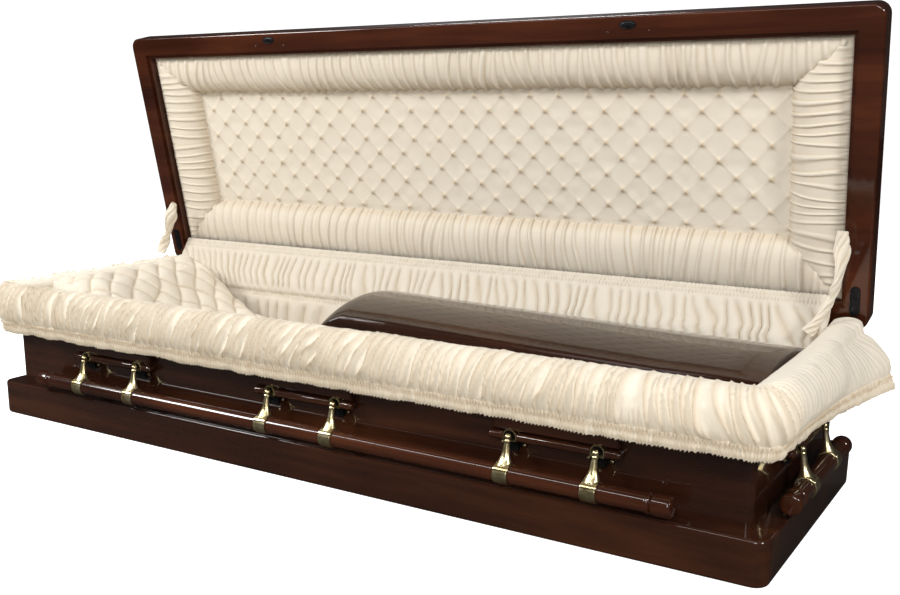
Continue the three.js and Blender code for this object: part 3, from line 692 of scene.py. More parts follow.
def panel_mounts():
    """The black plates and ears that the arms hang from, and their brass arches and screws."""
    dark, bright = [], []
    for x in (-ARM_AT, ARM_AT):
        plate = arch("plate", 0.0135, 0.2090, 0.164, -0.0005, -0.0085)
        ears = block("ears", (-0.0290, -0.0036, 0.171), (0.0290, -0.0004, 0.181), 0.0012)
        bpy.ops.mesh.primitive_cylinder_add(vertices=20, radius=0.0042, depth=0.024, location=(0, -0.0175, PIVOT_Z),
                                            rotation=(math.pi / 2, 0, 0))
        stud = settle("stud")
        dark += [plate, ears, stud]
        hoop = arch("hoop", 0.0150, 0.2104, 0.186, -0.0003, -0.0235)
        pick(hoop, "FACE", lambda f: f.normal.y < -0.9)
        bpy.ops.mesh.inset(thickness=0.0018)
        extrude((0, 0.0215, 0))
        leave()
        bright.append(hoop)
        for side in (-1, 1):
            bright.append(ball("screw", 0.0044, (side * 0.0250, -0.0040, 0.176), 20, 10, (1, 0.85, 1)))
        for piece in dark[-3:] + bright[-3:]:
            piece.data.transform(Matrix.Translation((x, 0, 0)))
    dark, bright = merged("mount", dark), merged("hoops", bright)
    smooth(dark, 40)
    smooth(bright, 40)
    return dark, bright


def brass_arm():
    """A ball, a stem that swells towards the bar and a cuff with a raised shoulder around it."""
    lean = math.atan2(BAR_OUT - PIVOT_OUT, PIVOT_Z - BAR_Z)
    stem = tube_section("stem", [(0.0052, 0.0052, 0.0), (0.0062, 0.0060, -0.010), (0.0072, 0.0066, -0.022),
                                 (0.0088, 0.0074, -0.033), (0.0112, 0.0088, -0.041), (0.0142, 0.0112, -0.0475),
                                 (0.0163, 0.0140, -0.0525), (0.0168, 0.0165, -0.0570)])
    knob = ball("ball", 0.0072, (0, 0, 0), 32, 20)
    ring = turned("ring", [(0.0045, -0.0066), (0.0068, -0.0070), (0.0072, -0.0080), (0.0068, -0.0090),
                           (0.0045, -0.0094)])
    shaft = merged("shaft", [stem, knob, ring])
    shaft.data.transform(Matrix.Translation((0, -PIVOT_OUT, PIVOT_Z)) @ Matrix.Rotation(-lean, 4, "X"))
    half = 0.0168  # half the cuff's width
    cuff = turned("cuff", mirrored([(0.0205, -half), (0.0222, 0.0012 - half), (0.0225, 0.0030 - half)]), 64)
    cuff.data.transform(ON_BAR)
    lip = turned("lip", mirrored([(0.0215, -half - 0.0006), (0.0236, 0.0004 - half), (0.0238, 0.0014 - half)]), 64)
    for x, way in ((-0.0125, 1), (-0.0165, -1)):
        halved(lip, (x, 0, 0), (way, 0, 0), clear_inner=False, clear_outer=True, use_fill=True)
    lip.data.transform(ON_BAR)
    deep = 0.0178
    saddle = block("saddle", (-half, -BAR_OUT - deep, BAR_Z + 0.0100), (half, deep - BAR_OUT, BAR_Z + 0.0165), 0.0022)
    arm = merged("arm", [shaft, cuff, lip, saddle])
    apply_modifier(arm, "REMESH", mode="VOXEL", voxel_size=0.0009)
    bpy.ops.mesh.primitive_cylinder_add(vertices=96, radius=BAR_R + 0.0004, depth=0.05,
                                        location=(0, -BAR_OUT, BAR_Z), rotation=(0, math.pi / 2, 0))
    hole = settle("hole")
    apply_modifier(arm, "BOOLEAN", operation="DIFFERENCE", object=hole, solver="EXACT")
    bpy.data.objects.remove(hole)
    apply_modifier(arm, "SMOOTH", factor=0.5, iterations=3)
    apply_modifier(arm, "DECIMATE", ratio=0.22)
    smooth(arm, 50)
    return arm


def wooden_bar(half):
    """A round bar with a bead and a larger turned tip at each end."""
    tip = [(0.0150, 0.0), (0.0185, 0.0008), (0.0207, 0.0030), (0.0214, 0.0065), (0.0215, 0.012), (0.0215, 0.034),
           (0.0207, 0.0375), (0.0178, 0.0395), (0.0172, 0.0410), (0.0190, 0.0425), (0.0211, 0.0445), (0.0214, 0.0465),
           (0.0207, 0.0488), (0.0192, 0.0505), (BAR_R, 0.0530)]
    bar = turned("bar", mirrored([(r, x - half) for r, x in tip]), 48)
    bar.data.transform(ON_BAR)
    smooth(bar, 40)
    return bar


def handles():
    """Panels, mounts, arms and bars on all four sides."""
    panel, (mount, hoops), arm = panel_wood(), panel_mounts(), brass_arm()
    bars = {True: wooden_bar(0.892), False: wooden_bar(0.225)}
    for side, quarter, out in WALL_TURNS:
        long_side = side in ("front", "back")
        grain = 0 if long_side else 1
        body = side + "_handle"
        bar = copied(bars[long_side], "bar_of_" + side, on_wall(quarter, out))
        dress(bar, [BAR_WOOD[grain]], body, ["bar_" + side])
        number = 0
        for place, x in enumerate((-PANEL_PITCH, 0, PANEL_PITCH) if long_side else (0,), 1):
            label = f"{side}_{place}" if long_side else side
            matrix = on_wall(quarter, out, x)
            dress(copied(panel, "panel_wood_" + label, matrix), [WOOD[grain]], "casket",
                  ["handle_panel_" + label])
            dress(copied(mount, "arm_mount_" + label, matrix), [DARK_METAL], "casket")
            dress(copied(hoops, "mount_brass_" + label, matrix), [BRASS], "casket")
            for shift in (-ARM_AT, ARM_AT):
                number += 1
                hung = copied(arm, f"brass_arm_{side}_{number}", on_wall(quarter, out, x + shift))
                dress(hung, [BRASS], body, [f"arm_{side}_{number}"])
    for pattern in (panel, mount, hoops, arm, *bars.values()):
        bpy.data.objects.remove(pattern)


# The loose cover over the foot end

def foot_cover():
    """A barrel-shaped shell with a drawn-in rim at its open end and a closed foot end."""
    low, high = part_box("foot_cover")
    radius, crown, half_arc = 0.430, 0.392, math.radians(38.1)
    half_y, tuck, past = 0.265, 0.006, 0.006  # half width, how far the open rim is drawn in, length past the solid
    bpy.ops.mesh.primitive_circle_add(vertices=180, radius=radius, location=(low.x, 0, crown - radius),
                                      rotation=(math.pi / 2, 0, math.pi / 2))
    obj = settle("cover_barrel")
    pick(obj, "VERT", lambda v: v.co.z < crown - radius * (1 - math.cos(half_arc)) - 1e-5)
    bpy.ops.mesh.delete(type="VERT")
    leave()
    spring = min(v.co.z for v in obj.data.vertices)
    pick(obj, "VERT", lambda v: v.co.z < spring + 1e-5)
    for _ in range(4):
        bpy.ops.mesh.extrude_vertices_move(TRANSFORM_OT_translate={"value": (0, 0, (low.z - spring) / 4)})
    leave()
    tall = crown - low.z
    stations = [(0.000, 0.0120), (0.0012, 0.0085), (0.0045, 0.0052), (0.011, 0.0026), (0.022, 0.0008), (0.042, 0.0)]
    stations += [(share * (high.x + past - low.x), 0.027 * share) for share in (0.2, 0.4, 0.6, 0.8, 1.0)]
    pick(obj, "EDGE")
    (along, drop), narrow = stations[0], tuck
    bpy.ops.transform.resize(value=(1, 1 - tuck / half_y, 1 - drop / tall), center_override=(low.x, 0, low.z))
    for next_along, next_drop in stations[1:]:
        extrude((next_along - along, 0, 0))
        thin = next_drop / 2 if next_along < 0.05 else 0.0
        bpy.ops.transform.resize(value=(1, (half_y - thin) / (half_y - narrow), (tall - next_drop) / (tall - drop)),
                                 center_override=(low.x + next_along, 0, low.z))
        along, drop, narrow = next_along, next_drop, thin
    pick(obj, "EDGE", lambda e: all(v.co.x > high.x + past - 0.001 for v in e.verts))
    bpy.ops.mesh.edge_face_add()
    leave()
    outward(obj)
    tilt_up(obj)
    apply_modifier(obj, "SOLIDIFY", thickness=0.012, offset=-1)
    apply_modifier(obj, "BEVEL", width=0.002, segments=2, limit_method="ANGLE", angle_limit=math.radians(60))
    smooth(obj, 40)
    dress(obj, [WOOD[0]], "casket", ["foot_cover"])


# The lid's wood, drawn shut and then put where the open lid has it

HINGE_PLACE = (0, 0.3508, 0.3495)
LID = (Matrix.Translation(HINGE_PLACE) @ Matrix.Rotation(-LID_OPEN, 4, "X")
       @ Matrix.Translation((0, -0.0034, 0.0033)))
LID_HALF = 1.075
LID_WIDTH = 0.708
LID_FACE = 0.060    # width of the frame's members


def lid_frame():
    obj = picture_frame("lid_rails", LID_HALF, -LID_WIDTH, 0, 0.028, 0, 0.060, LID_FACE, 0.005, (0.009, 0.008))
    obj.data.transform(LID)
    dress(obj, LID_WOOD, "lid", ["lid_frame"])


def lid_crown():
    """Coved sides that rise to a flat top, mitred at the corners and hollow."""
    start, run, rise, foot = 0.0171, 0.214, 0.170, 0.0606
    cove = [(.08, 0), (.08, .1), (.14, .2), (.2, .27), (.33, .55), (.49, .77), (.7, .93), (1, 1)]
    half_x, y0, y1 = LID_HALF - start, -LID_WIDTH + start, -start
    obj = block("lid_top", (-half_x, y0, foot - 0.0001), (half_x, y1, foot + rise * 0.10))
    before = (start / run, 0.10)
    steps = []
    for share, up in curve(cove[1:], 28):
        if share - before[0] > 1e-4:
            steps.append(((share - before[0]) * run, (up - before[1]) * rise))
            before = (share, up)
    step_cap(obj, 1, steps)
    pick(obj, "FACE", lambda f: f.normal.z < -0.9)
    bpy.ops.mesh.delete(type="FACE")
    leave()
    outward(obj, 0.0001)
    tilt_up(obj)
    for face in obj.data.polygons:
        to_side = min(face.center.y - y0, y1 - face.center.y)
        on_end = half_x - abs(face.center.x) < to_side and face.center.z < foot + rise - 0.001
        face.material_index = 1 if on_end else 0
    apply_modifier(obj, "SOLIDIFY", thickness=0.014, offset=-1)
    smooth(obj, 25)
    obj.data.transform(LID)
    dress(obj, LID_WOOD, "lid", ["lid_crown"])


def catches():
    """Dark oval plates let into the lid's face, each with a turned-in slot."""
    for label, x in (("head", -0.530), ("foot", 0.530)):
        bpy.ops.mesh.primitive_cylinder_add(vertices=48, radius=0.5, depth=1, location=(0, 0, 0),
                                            scale=(0.040, 0.0190, 0.0026))
        plate = settle("catch_" + label)
        pick(plate, "FACE", lambda f: f.normal.z < -0.9)
        bpy.ops.mesh.inset(thickness=0.0014)
        bpy.ops.mesh.inset(thickness=0.0010, depth=-0.0012)
        bpy.ops.mesh.inset(thickness=0.0022, depth=0.0016)
        leave()
        apply_modifier(plate, "BEVEL", width=0.0004, segments=2, limit_method="ANGLE")
        parts = [plate]
        for side in (-1, 1):
            plug = ball("plug", 0.0034, (side * 0.050, 0.016, 0.0010), 16, 8, (1, 1, 0.5))
            plug.data.materials.append(LID_WOOD[0])
            parts.append(plug)
        plate.data.materials.append(DARK_METAL)
        obj = merged("catch_" + label, parts)
        smooth(obj, 40)
        obj.data.transform(LID @ Matrix.Translation((x, -0.688, -0.0006)))
        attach(obj, "lid")
        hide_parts("catch_plate_" + label)


# The ruffled overthrow on the rim

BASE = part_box("base_moulding")[1]
HALF_X, HALF_Y = BASE.x, BASE.y
RIM_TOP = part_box("rim_moulding")[1].z
THROW_REAR_Y = 0.330
THROW_CORNER = 0.046
HEM_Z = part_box("overthrow")[0].z
ELASTIC_Z = HEM_Z + 0.030
FLUTE = 0.0080      # pitch of the narrow folds that the elastic draws in
INNER_CORNER = 0.012


def throw_path(count):
    """Stations of the overthrow: s, side of the casket, y or None in a corner, angle and share of the way back."""
    front = -HALF_Y + THROW_CORNER
    straight = THROW_REAR_Y - front
    long_side = 2 * (HALF_X - THROW_CORNER)
    bulge = 0.016
    arc = (THROW_CORNER + bulge) * math.pi / 2
    ends = np.cumsum([0, straight, arc, long_side, arc, straight])
    s = np.linspace(0, ends[-1], count)
    leg = np.clip(np.searchsorted(ends, s, side="right") - 1, 0, 4)
    share = (s - ends[leg]) / np.diff(ends)[leg]
    angle = np.select([leg == 0, leg == 1, leg == 2, leg == 3], [np.pi, np.pi * (1 + share / 2), np.pi * 1.5,
                                                               np.pi * (1.5 + share / 2)], 2 * np.pi)
    centre_x = np.select([leg <= 1, leg == 2], [-1, 2 * share - 1], 1) * (HALF_X - THROW_CORNER)
    y = np.select([leg == 0, leg == 4], [THROW_REAR_Y - straight * share, front + straight * share], front)
    rear = np.select([leg == 0, leg == 4], [1 - share, share], 0)
    foot = np.where(centre_x > 0, 1.0, 0.0)
    return s, centre_x, y, angle, rear, foot


def throw_grid(count, section):
    """The overthrow's smooth shape: a section of (inset from the base's side, z) carried along its path."""
    s, centre_x, y, angle, rear, foot = (a[:, None] for a in throw_path(count))
    inset, z = section[None, :, 0], section[None, :, 1]
    reach = THROW_CORNER - inset
    drop = np.clip((RIM_TOP - z) / (RIM_TOP - HEM_Z), 0, 1)
    outside = between(-inset, -0.012, -0.004)
    flare = (0.030 + 0.054 * foot) * rear ** 2.2
    reach = reach + flare * outside * drop ** 0.8
    rise = 0.020 * foot * rear ** 4 * between(z, RIM_TOP, RIM_TOP + 0.006)
    tight = reach < INNER_CORNER
    inner_x = np.sign(centre_x) * np.minimum(np.abs(centre_x), HALF_X - inset - INNER_CORNER)
    inner_y = np.maximum(y, -(HALF_Y - inset - INNER_CORNER))
    reach = np.maximum(reach, INNER_CORNER)
    x_out = np.where(tight, inner_x, centre_x) + reach * np.cos(angle)
    y_out = np.where(tight, inner_y, y) + reach * np.sin(angle)
    return np.stack(np.broadcast_arrays(x_out, y_out, z + rise), axis=-1), s


def overthrow():
    """The ruffle over the rim and the smocked frill along its hem."""
    section = curve([(0.073, 0.300), (0.073, 0.332), (0.061, 0.3575), (0.034, 0.3655), (0.008, 0.3585),
                     (-0.0075, 0.338), (-0.0130, 0.312), (-0.0095, 0.284), (-0.0010, ELASTIC_Z - 0.002)], 64)
    grid, s = throw_grid(1500, section)
    v = run_along(section)[None, :]
    length = v[0, -1]
    to_hem = length - v
    outer = between(v, 0.070, 0.120) * between(to_hem, -0.004, 0.034)
    middle = np.clip((s - 0.7) / 2.1, 0, 1)
    shear = 0.05 + 0.50 * np.sin(np.pi * middle ** 0.8) - 0.35 * between(s, 2.45, 2.85)
    bow = 0.010 * np.sin(np.pi * v / length)
    closer = np.cumsum(np.interp(s, (0.5, 2.8), (0.82, 1.12)), axis=0) * (s[1, 0] - s[0, 0])
    big = gathers(closer + bow, v, 0.0235, 11, shear, 0.62, 0.66, 0.34, 0.10, 0.20)
    small = gathers(closer + bow, v, 0.0118, 21, shear, 0.40, 0.70, 0.60, 0.07, 0.2)
    split = 0.08 + 0.40 * between(0.056 - to_hem, 0.0, 0.040)
    fold = big - split * (1 - small)
    flute = gathers(s, 0.024 - to_hem * 0.4, FLUTE, 51, 0.0, 0.5, 0.8, 0.4, 0.05)
    calm = 1 - 0.84 * between(s, 2.80, 3.00)
    near_hem = 1 - between(to_hem, 0.004, 0.034)
    near_hem = near_hem * (0.7 + 0.3 * clouds(s, v, 0.018, 0.02, 42))
    inside = between(0.075 - v, 0.0, 0.03) * 0.5
    height = (fold - 1) * 0.0165 * outer * calm + (flute - 0.7) * 0.0046 * np.maximum(near_hem, inside)
    height = height + (0.0035 + 0.0065 * (1 - calm)) * clouds(s + 0.5 * v, v, 0.10, 0.16, 41) * outer
    height = height + 0.0016 * clouds(s, v, 0.030, 0.04, 43) * outer
    shade = 1 - (1 - fold) * outer * calm - (1 - flute) * 0.55 * np.maximum(near_hem, inside)
    throw = cloth("overthrow_ruffle", grid, height, shade)

    frill_section = curve([(-0.0050, ELASTIC_Z + 0.0065), (-0.0048, ELASTIC_Z), (-0.0022, ELASTIC_Z - 0.007),
                           (-0.0022, HEM_Z + 0.013), (0.0030, HEM_Z + 0.003)], 12)
    frill_grid, s = throw_grid(3850, frill_section)
    w = np.linspace(0, 1, 12)[None, :]
    flute = gathers(s, w * 0.024 + 0.02, FLUTE, 51, 0.0, 0.5, 0.8, 0.3, 0.05)
    cross = gathers(s, w * 0.024, 0.0042, 55, 0.9, 0.5, 0.9, 0.7, 0.01)
    swell = clouds(s, w * 0.02, 0.024, 0.03, 52)
    open_out = between(w, 0.1, 0.75)
    lift = (flute - 0.7) * (0.0042 + 0.0026 * open_out) + (cross - 0.7) * 0.0009 + 0.0022 * swell * open_out
    frill_grid[..., 2] += 0.0022 * clouds(s, 0 * s, 0.031, 1, 56) * open_out
    holes = smocking(s, w * 0.036, (0.0055, 0.0130), FLUTE, 57)
    lift = lift - 0.0026 * holes
    shade = 1 - (1 - flute) * 0.75 - (1 - cross) * 0.15 - holes * 0.75
    return throw, cloth("overthrow_frill", frill_grid, lift, shade)


# Lining on the lid, drawn in the shut lid's frame: y is 0 at the hinge side, z 0 at the frame's lower face

OPEN_X = LID_HALF - LID_FACE
OPEN_Y = (-LID_WIDTH + LID_FACE, -LID_FACE)
ROLL = 0.130
ROLL_FREE = 0.110


def lid_points(x, y, z):
    """Points of the shut lid's frame put where the open lid has them."""
    turn = np.array(LID)
    p = np.stack(np.broadcast_arrays(x, y, z), axis=-1)
    return p @ turn[:3, :3].T + turn[:3, 3]


def lid_rolls():
    """Four padded rolls of shirred cloth that meet in mitred corners."""
    middle_y = sum(OPEN_Y) / 2
    half_y = (OPEN_Y[1] - OPEN_Y[0]) / 2
    sides = (  # name, quarter turns, width, and the widths of the rolls at its start and end
        ("lid_roll_free", 0, ROLL_FREE, ROLL, ROLL),
        ("lid_roll_foot", 1, ROLL, ROLL_FREE, ROLL),
        ("lid_roll_hinge", 2, ROLL, ROLL, ROLL),
        ("lid_roll_head", 3, ROLL, ROLL, ROLL_FREE),
    )
    section = curve([(0.0, 0.034), (0.05, 0.0255), (0.22, 0.0205), (0.45, 0.0190), (0.68, 0.0235), (0.86, 0.035),
                     (0.97, 0.0505), (1.02, 0.064)], 44)
    made = []
    share, depth = section[None, :, 0], section[None, :, 1]
    for name, quarter, width, before, after in sides:
        if quarter % 2 == 0:
            half, out, count, pitch, tall = OPEN_X, half_y, 1400, 0.0330, 0.0064
        else:
            half, out, count, pitch, tall = half_y, OPEN_X, 420, 0.0250, 0.0048
        seed = 61 + quarter
        a = np.linspace(-1, 1, count)[:, None]
        inset = np.where(a < 0, before, after) * np.clip(share, 0, 1)
        along = a * (half - inset + 0.003)
        across = out - width * share
        to_mitre = (1 - np.abs(a)) * half
        crease = 0.007 * np.exp(-to_mitre / 0.010) * between(share, 0.02, 0.4)
        run = share * 0.13
        ridge, foot = pleats(along, run, pitch, seed)
        small = gathers(along, run, 0.0092, seed + 10, 0.0, 0.7, 0.55, 0.8, 0.10)
        edge = np.maximum(between(0.30 - share, 0, 0.28), 0.07)
        full = between(share, 0.0, 0.2)
        height = ridge * tall * full + (small - 0.8) * 0.0030 * edge
        height = height + 0.0016 * clouds(along, run, 0.045, 0.08, seed + 20) * full
        shade = 0.84 + 0.16 * ridge - 0.55 * foot * full - (1 - small) * 0.65 * edge
        shade = shade - 0.35 * between(share, 0.85, 1.0)
        angle = quarter * math.pi / 2
        x = along * math.cos(angle) + across * math.sin(angle)
        y = along * math.sin(angle) - across * math.cos(angle)
        grid = lid_points(x, middle_y + y, depth + crease)
        made.append(cloth(name, grid, height, shade, -1))
    return made


def tufted_panel():
    """The padded panel, drawn in at staggered tufts with creases between them."""
    pitch_x, pitch_y = 0.0800, 0.0388
    x = np.linspace(-0.902, 0.902, 640)[:, None]
    y = np.linspace(-0.556, -0.172, 136)[None, :]
    middle = -0.364
    rows = 4 * pitch_y
    a = x / pitch_x + (y - middle) / (2 * pitch_y)
    b = x / pitch_x - (y - middle) / (2 * pitch_y)
    da, db = a - np.round(a), b - np.round(b)
    inside = between(rows + 0.010 - np.abs(y - middle), 0, 0.012)
    ends = between(0.893 - np.abs(x), 0.0, 0.030)
    to_crease = np.minimum(np.abs(da), np.abs(db)) * 0.068
    u = (da + db) / 2 * pitch_x
    w = (da - db) * pitch_y
    to_tuft = np.hypot(u, w)
    puff = (np.abs(np.sin(np.pi * a)) * np.abs(np.sin(np.pi * b))) ** 0.5
    wobble = 0.5 + 0.5 * clouds(x + 0 * y, y + 0 * x, 0.03, 0.03, 71)
    reach = np.exp(-(to_tuft / (0.010 + 0.012 * wobble)) ** 2)
    crease = np.exp(-to_crease / 0.0016) * inside * (0.05 + 0.95 * reach)
    crease = crease * np.where(np.abs(da) < np.abs(db), 1, 0.55 + 0.45 * wobble)
    dimple = np.exp(-(to_tuft / 0.0046) ** 1.25) * inside
    column = x / pitch_x - np.round(x / pitch_x)
    seam = np.exp(-np.abs(column) * pitch_x / 0.0020) * (1 - inside)
    height = 0.0019 * puff * inside + 0.0028 * (1 - inside) * (1 - column ** 2) - 0.0022 * crease
    height = height - 0.0085 * dimple - 0.0030 * seam + 0.0011 * clouds(x + 0 * y, y + 0 * x, 0.022, 0.022, 72)
    height = height * ends
    shade = 1 - (0.42 * crease + 0.95 * dimple ** 0.7 + 0.55 * seam) * ends
    return cloth("lid_tufting", lid_points(x, y, 0.061), height, shade)


def rear_lining():
    """Shirred cloth from the lid's hinge side down into the box, drawn in by an elastic."""
    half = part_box("rear_lining")[1].x
    section = curve([(0.3450, 0.4300), (0.3370, 0.4275), (0.322, 0.404), (0.296, 0.368), (0.275, 0.338),
                     (0.2695, 0.312), (0.2745, 0.295), (0.2680, 0.277), (0.2690, 0.235), (0.2720, 0.158)], 78)
    x = np.linspace(-half, half, 1150)[:, None]
    v = run_along(section)[None, :]
    z = section[None, :, 1]
    grid = np.stack(np.broadcast_arrays(x * (1 + 0.0145 * between(z, 0.33, 0.36)), section[None, :, 0], z), axis=-1)
    upper = between(z, 0.300, 0.325) * between(0.409 - z, 0.0, 0.014)
    band = np.exp(-((z - 0.292) / 0.011) ** 2) + 0.6 * between(z, 0.402, 0.414)
    lower = between(0.282 - z, 0.0, 0.03)
    shear = 0.35 + 0.35 * clouds(x, 0 * x, 0.5, 1, 80)
    big = np.maximum(gathers(x, v, 0.0280, 81, -shear, 0.6, 0.5, 0.35, 0.12),
                     0.40 * gathers(x, v, 0.017, 84, -shear, 0.7, 0.7, 0.6, 0.08))
    loose = gathers(x, v, 0.052, 87, 0.15, 0.7, 0.8, 0.5, 0.25)
    fine = gathers(x, v, 0.0088, 90, 0.0, 0.45, 0.8, 0.4, 0.06)
    height = (big - 1) * 0.0125 * upper + (fine - 0.6) * 0.0046 * np.clip(band, 0.1, 1)
    height = height + (loose - 0.8) * 0.012 * lower
    marks = smocking(x, z, (0.4225, 0.4125, 0.2965, 0.2880), 0.0084, 92)
    height = height - 0.0030 * marks
    shade = 1 - (1 - big) * upper - (1 - fine) * 0.5 * np.clip(band, 0, 1) - (1 - loose) * 0.6 * lower - 0.55 * marks
    return cloth("rear_shirring", grid, height, shade, -1)


def side_lining():
    """Shirred cloth on the walls of the box."""
    low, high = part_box("side_lining")
    radius = 0.030
    face = 0.0075  # the cloth lies this far inside the solid's outside
    half_x, half_y = high.x - face, high.y - face
    lengths = np.array([2 * (half_y - radius), radius * math.pi / 2, 2 * (half_x - radius), radius * math.pi / 2] * 2)
    ends = np.concatenate([[0], np.cumsum(lengths)])
    s = np.linspace(0, ends[-1], 1300)
    leg = np.clip(np.searchsorted(ends, s, side="right") - 1, 0, 7)
    share = (s - ends[leg]) / lengths[leg]
    quarter = (leg + 1) // 2
    angle = np.where(leg % 2 == 1, (quarter - 1 + share) * math.pi / 2, quarter * math.pi / 2) + math.pi
    corner = np.array([(-1, 1), (-1, -1), (1, -1), (1, 1), (-1, 1)], float) * (half_x - radius, half_y - radius)
    start, stop = corner[quarter % 4], corner[(quarter + 1) % 4]
    centre = np.where((leg % 2 == 1)[:, None], start, start + (stop - start) * share[:, None])
    plan = centre + radius * np.column_stack([np.cos(angle), np.sin(angle)])
    z = np.linspace(low.z, high.z - 0.001, 26)[None, :]
    v = high.z - z
    fold = gathers(s[:, None], v, 0.030, 95, 0.1, 0.6, 0.55, 0.5, 0.12)
    grid = np.stack(np.broadcast_arrays(plan[:, :1], plan[:, 1:], z), axis=-1)
    return cloth("side_shirring", grid, (fold - 1) * 0.006, 1 - (1 - fold) * 0.8, -1)


# Pillow, mattress and the sleeves of the lid's stays

def read(mesh, what="co"):
    """The places or normals of a mesh's points, in rows of three."""
    values = np.empty(len(mesh.vertices) * 3)
    mesh.vertices.foreach_get(what, values)
    return values.reshape(-1, 3)


def spread(obj, name, function):
    """Moves an object's points by a function of their places and normals, which also gives their fold shade."""
    mesh = obj.data
    moved, shade = function(read(mesh), read(mesh, "normal"))
    mesh.vertices.foreach_set("co", moved.ravel())
    store_painted_shade(mesh, shade)
    mesh.update()
    obj.name = name
    only(obj)
    bpy.ops.object.shade_smooth()


def swollen(obj, voxel, pressure, frames, cap, pinned):
    """Remeshes a pad and lets a cloth simulation blow it up, with the points that pass a test held."""
    apply_modifier(obj, "REMESH", mode="VOXEL", voxel_size=voxel)
    start = read(obj.data)
    only(obj)
    held = obj.vertex_groups.new(name="held")
    held.add([v.index for v in obj.data.vertices if pinned(v.co)], 1.0, "REPLACE")
    modifier = obj.modifiers.new("cloth", "CLOTH")
    modifier.settings.use_pressure = True
    modifier.settings.uniform_pressure_force = pressure
    modifier.settings.vertex_group_mass = "held"
    modifier.settings.quality = 5
    modifier.settings.effector_weights.gravity = 0
    modifier.collision_settings.use_collision = False
    modifier.point_cache.frame_start = 1
    modifier.point_cache.frame_end = frames
    for step in range(1, frames + 1):
        bpy.context.scene.frame_set(step)
    bpy.ops.object.modifier_apply(modifier=modifier.name)
    bpy.context.scene.frame_set(1)
    obj.vertex_groups.clear()
    move = read(obj.data) - start
    move *= np.minimum(1, cap / np.maximum(np.linalg.norm(move, axis=1, keepdims=True), 1e-9))
    obj.data.vertices.foreach_set("co", (start + move).ravel())
    obj.data.update()


def pillow():
    """The quilted wedge at the head end: blown up in a cloth simulation, then quilted."""
    low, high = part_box("pillow")
    top, gap = 0.376, 0.0005
    inset = 0.012
    obj = block("pillow_case", (low.x + inset, low.y + inset, low.z + 0.002), (high.x - inset, high.y - inset, top))
    profile = ((low.x + inset, 0.394), (-0.930, 0.400), (-0.870, 0.390), (-0.800, 0.360), (-0.720, 0.300),
               (-0.640, 0.250), (-0.500, 0.212), (high.x - inset, 0.190))
    for x, z in profile[1:-1]:
        halved(obj, (x, 0, 0), (1, 0, 0))
    for x, z in profile:
        pick(obj, "VERT", lambda v: abs(v.co.x - x) < gap and abs(v.co.z - top) < gap)
        bpy.ops.transform.translate(value=(0, 0, z - top))
        pick(obj, "VERT", lambda v: abs(v.co.x - x) < gap and v.co.z > low.z + 0.01 and v.co.y < 0)
        bpy.ops.transform.translate(value=(0, 0, -0.014))
        leave()
    apply_modifier(obj, "BEVEL", width=0.012, segments=3, limit_method="ANGLE", angle_limit=math.radians(50))
    swollen(obj, 0.0085, 3.5, 20, 0.018, lambda p: p.z < low.z + 0.012)
    apply_modifier(obj, "SUBSURF", levels=1, render_levels=1)

    def quilt(p, n):
        x, y, z = p.T
        up = between(n[:, 2], 0.25, 0.75) * between(z, low.z + 0.05, low.z + 0.09)
        a, b = (x + y) * math.sqrt(0.5), (x - y) * math.sqrt(0.5)
        u = a / 0.056 + 0.07 * np.sin(b / 0.024 + 1.0) + 0.3 * clouds(x, y, 0.12, 0.11, 101)
        w = b / 0.052 + 0.06 * np.sin(a / 0.025) + 0.3 * clouds(x, y, 0.11, 0.12, 102)
        du, dw = np.abs(u - np.round(u)) * 0.056, np.abs(w - np.round(w)) * 0.052
        near = np.minimum(du, dw)
        puff = np.abs(np.sin(np.pi * u) * np.sin(np.pi * w)) ** 0.45
        pucker = gathers(np.where(du < dw, y, x), near, 0.011, 103, 0.0, 0.6, 0.8, 0.5, 0.05)
        close = np.exp(-near / 0.010)
        push = up * (0.0090 * (puff - 0.75) - 0.0028 * np.exp(-near / 0.0018) + 0.0022 * (pucker - 0.6) * close)
        side = (1 - up) * between(z, low.z + 0.004, low.z + 0.03)
        ruffle = gathers(np.where(np.abs(n[:, 0]) > np.abs(n[:, 1]), y, x), z, 0.021, 104, 0.0, 0.6, 0.7, 0.6, 0.08)
        push = push + side * 0.004 * (ruffle - 0.8)
        moved = np.clip(p + n * push[:, None], (low.x + gap, low.y + gap, low.z), (high.x - gap, high.y - gap, np.inf))
        shade = 1 - up * (0.75 * np.exp(-near / 0.0028) + 0.25 * (1 - pucker) * close) - side * 0.4 * (1 - ruffle)
        return moved, shade
    spread(obj, "pillow_quilted", quilt)
    dress(obj, [CREPE], "casket", ["pillow"])
    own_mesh(obj)


def mattress():
    low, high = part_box("mattress")
    inset = 0.006
    obj = block("mattress_ticking", (low.x + inset, low.y + inset, low.z + 0.0005),
                (high.x - inset, high.y - inset, high.z - 0.004), 0.026, 4)
    swollen(obj, 0.020, 2.0, 12, 0.005, lambda p: p.z < low.z + 0.02)
    apply_modifier(obj, "SUBSURF", levels=1, render_levels=1)

    def settle_in(p, n):
        x, y = p.T[:2]
        soft = clouds(x, y, 0.16, 0.14, 111) * between(n[:, 2], 0.3, 0.8)
        wrinkle = gathers(x, y, 0.045, 112, 0.5, 0.8, 1.0, 0.8, 0.15) * between(n[:, 2], 0.3, 0.8)
        moved = p + n * (0.0016 * soft + 0.0028 * (wrinkle - 0.5))[:, None]
        return np.clip(moved, low, high), 0.70 + 0.30 * wrinkle
    spread(obj, "mattress_cover", settle_in)
    dress(obj, [INNER_CREPE_SHADED], "casket", ["mattress"])


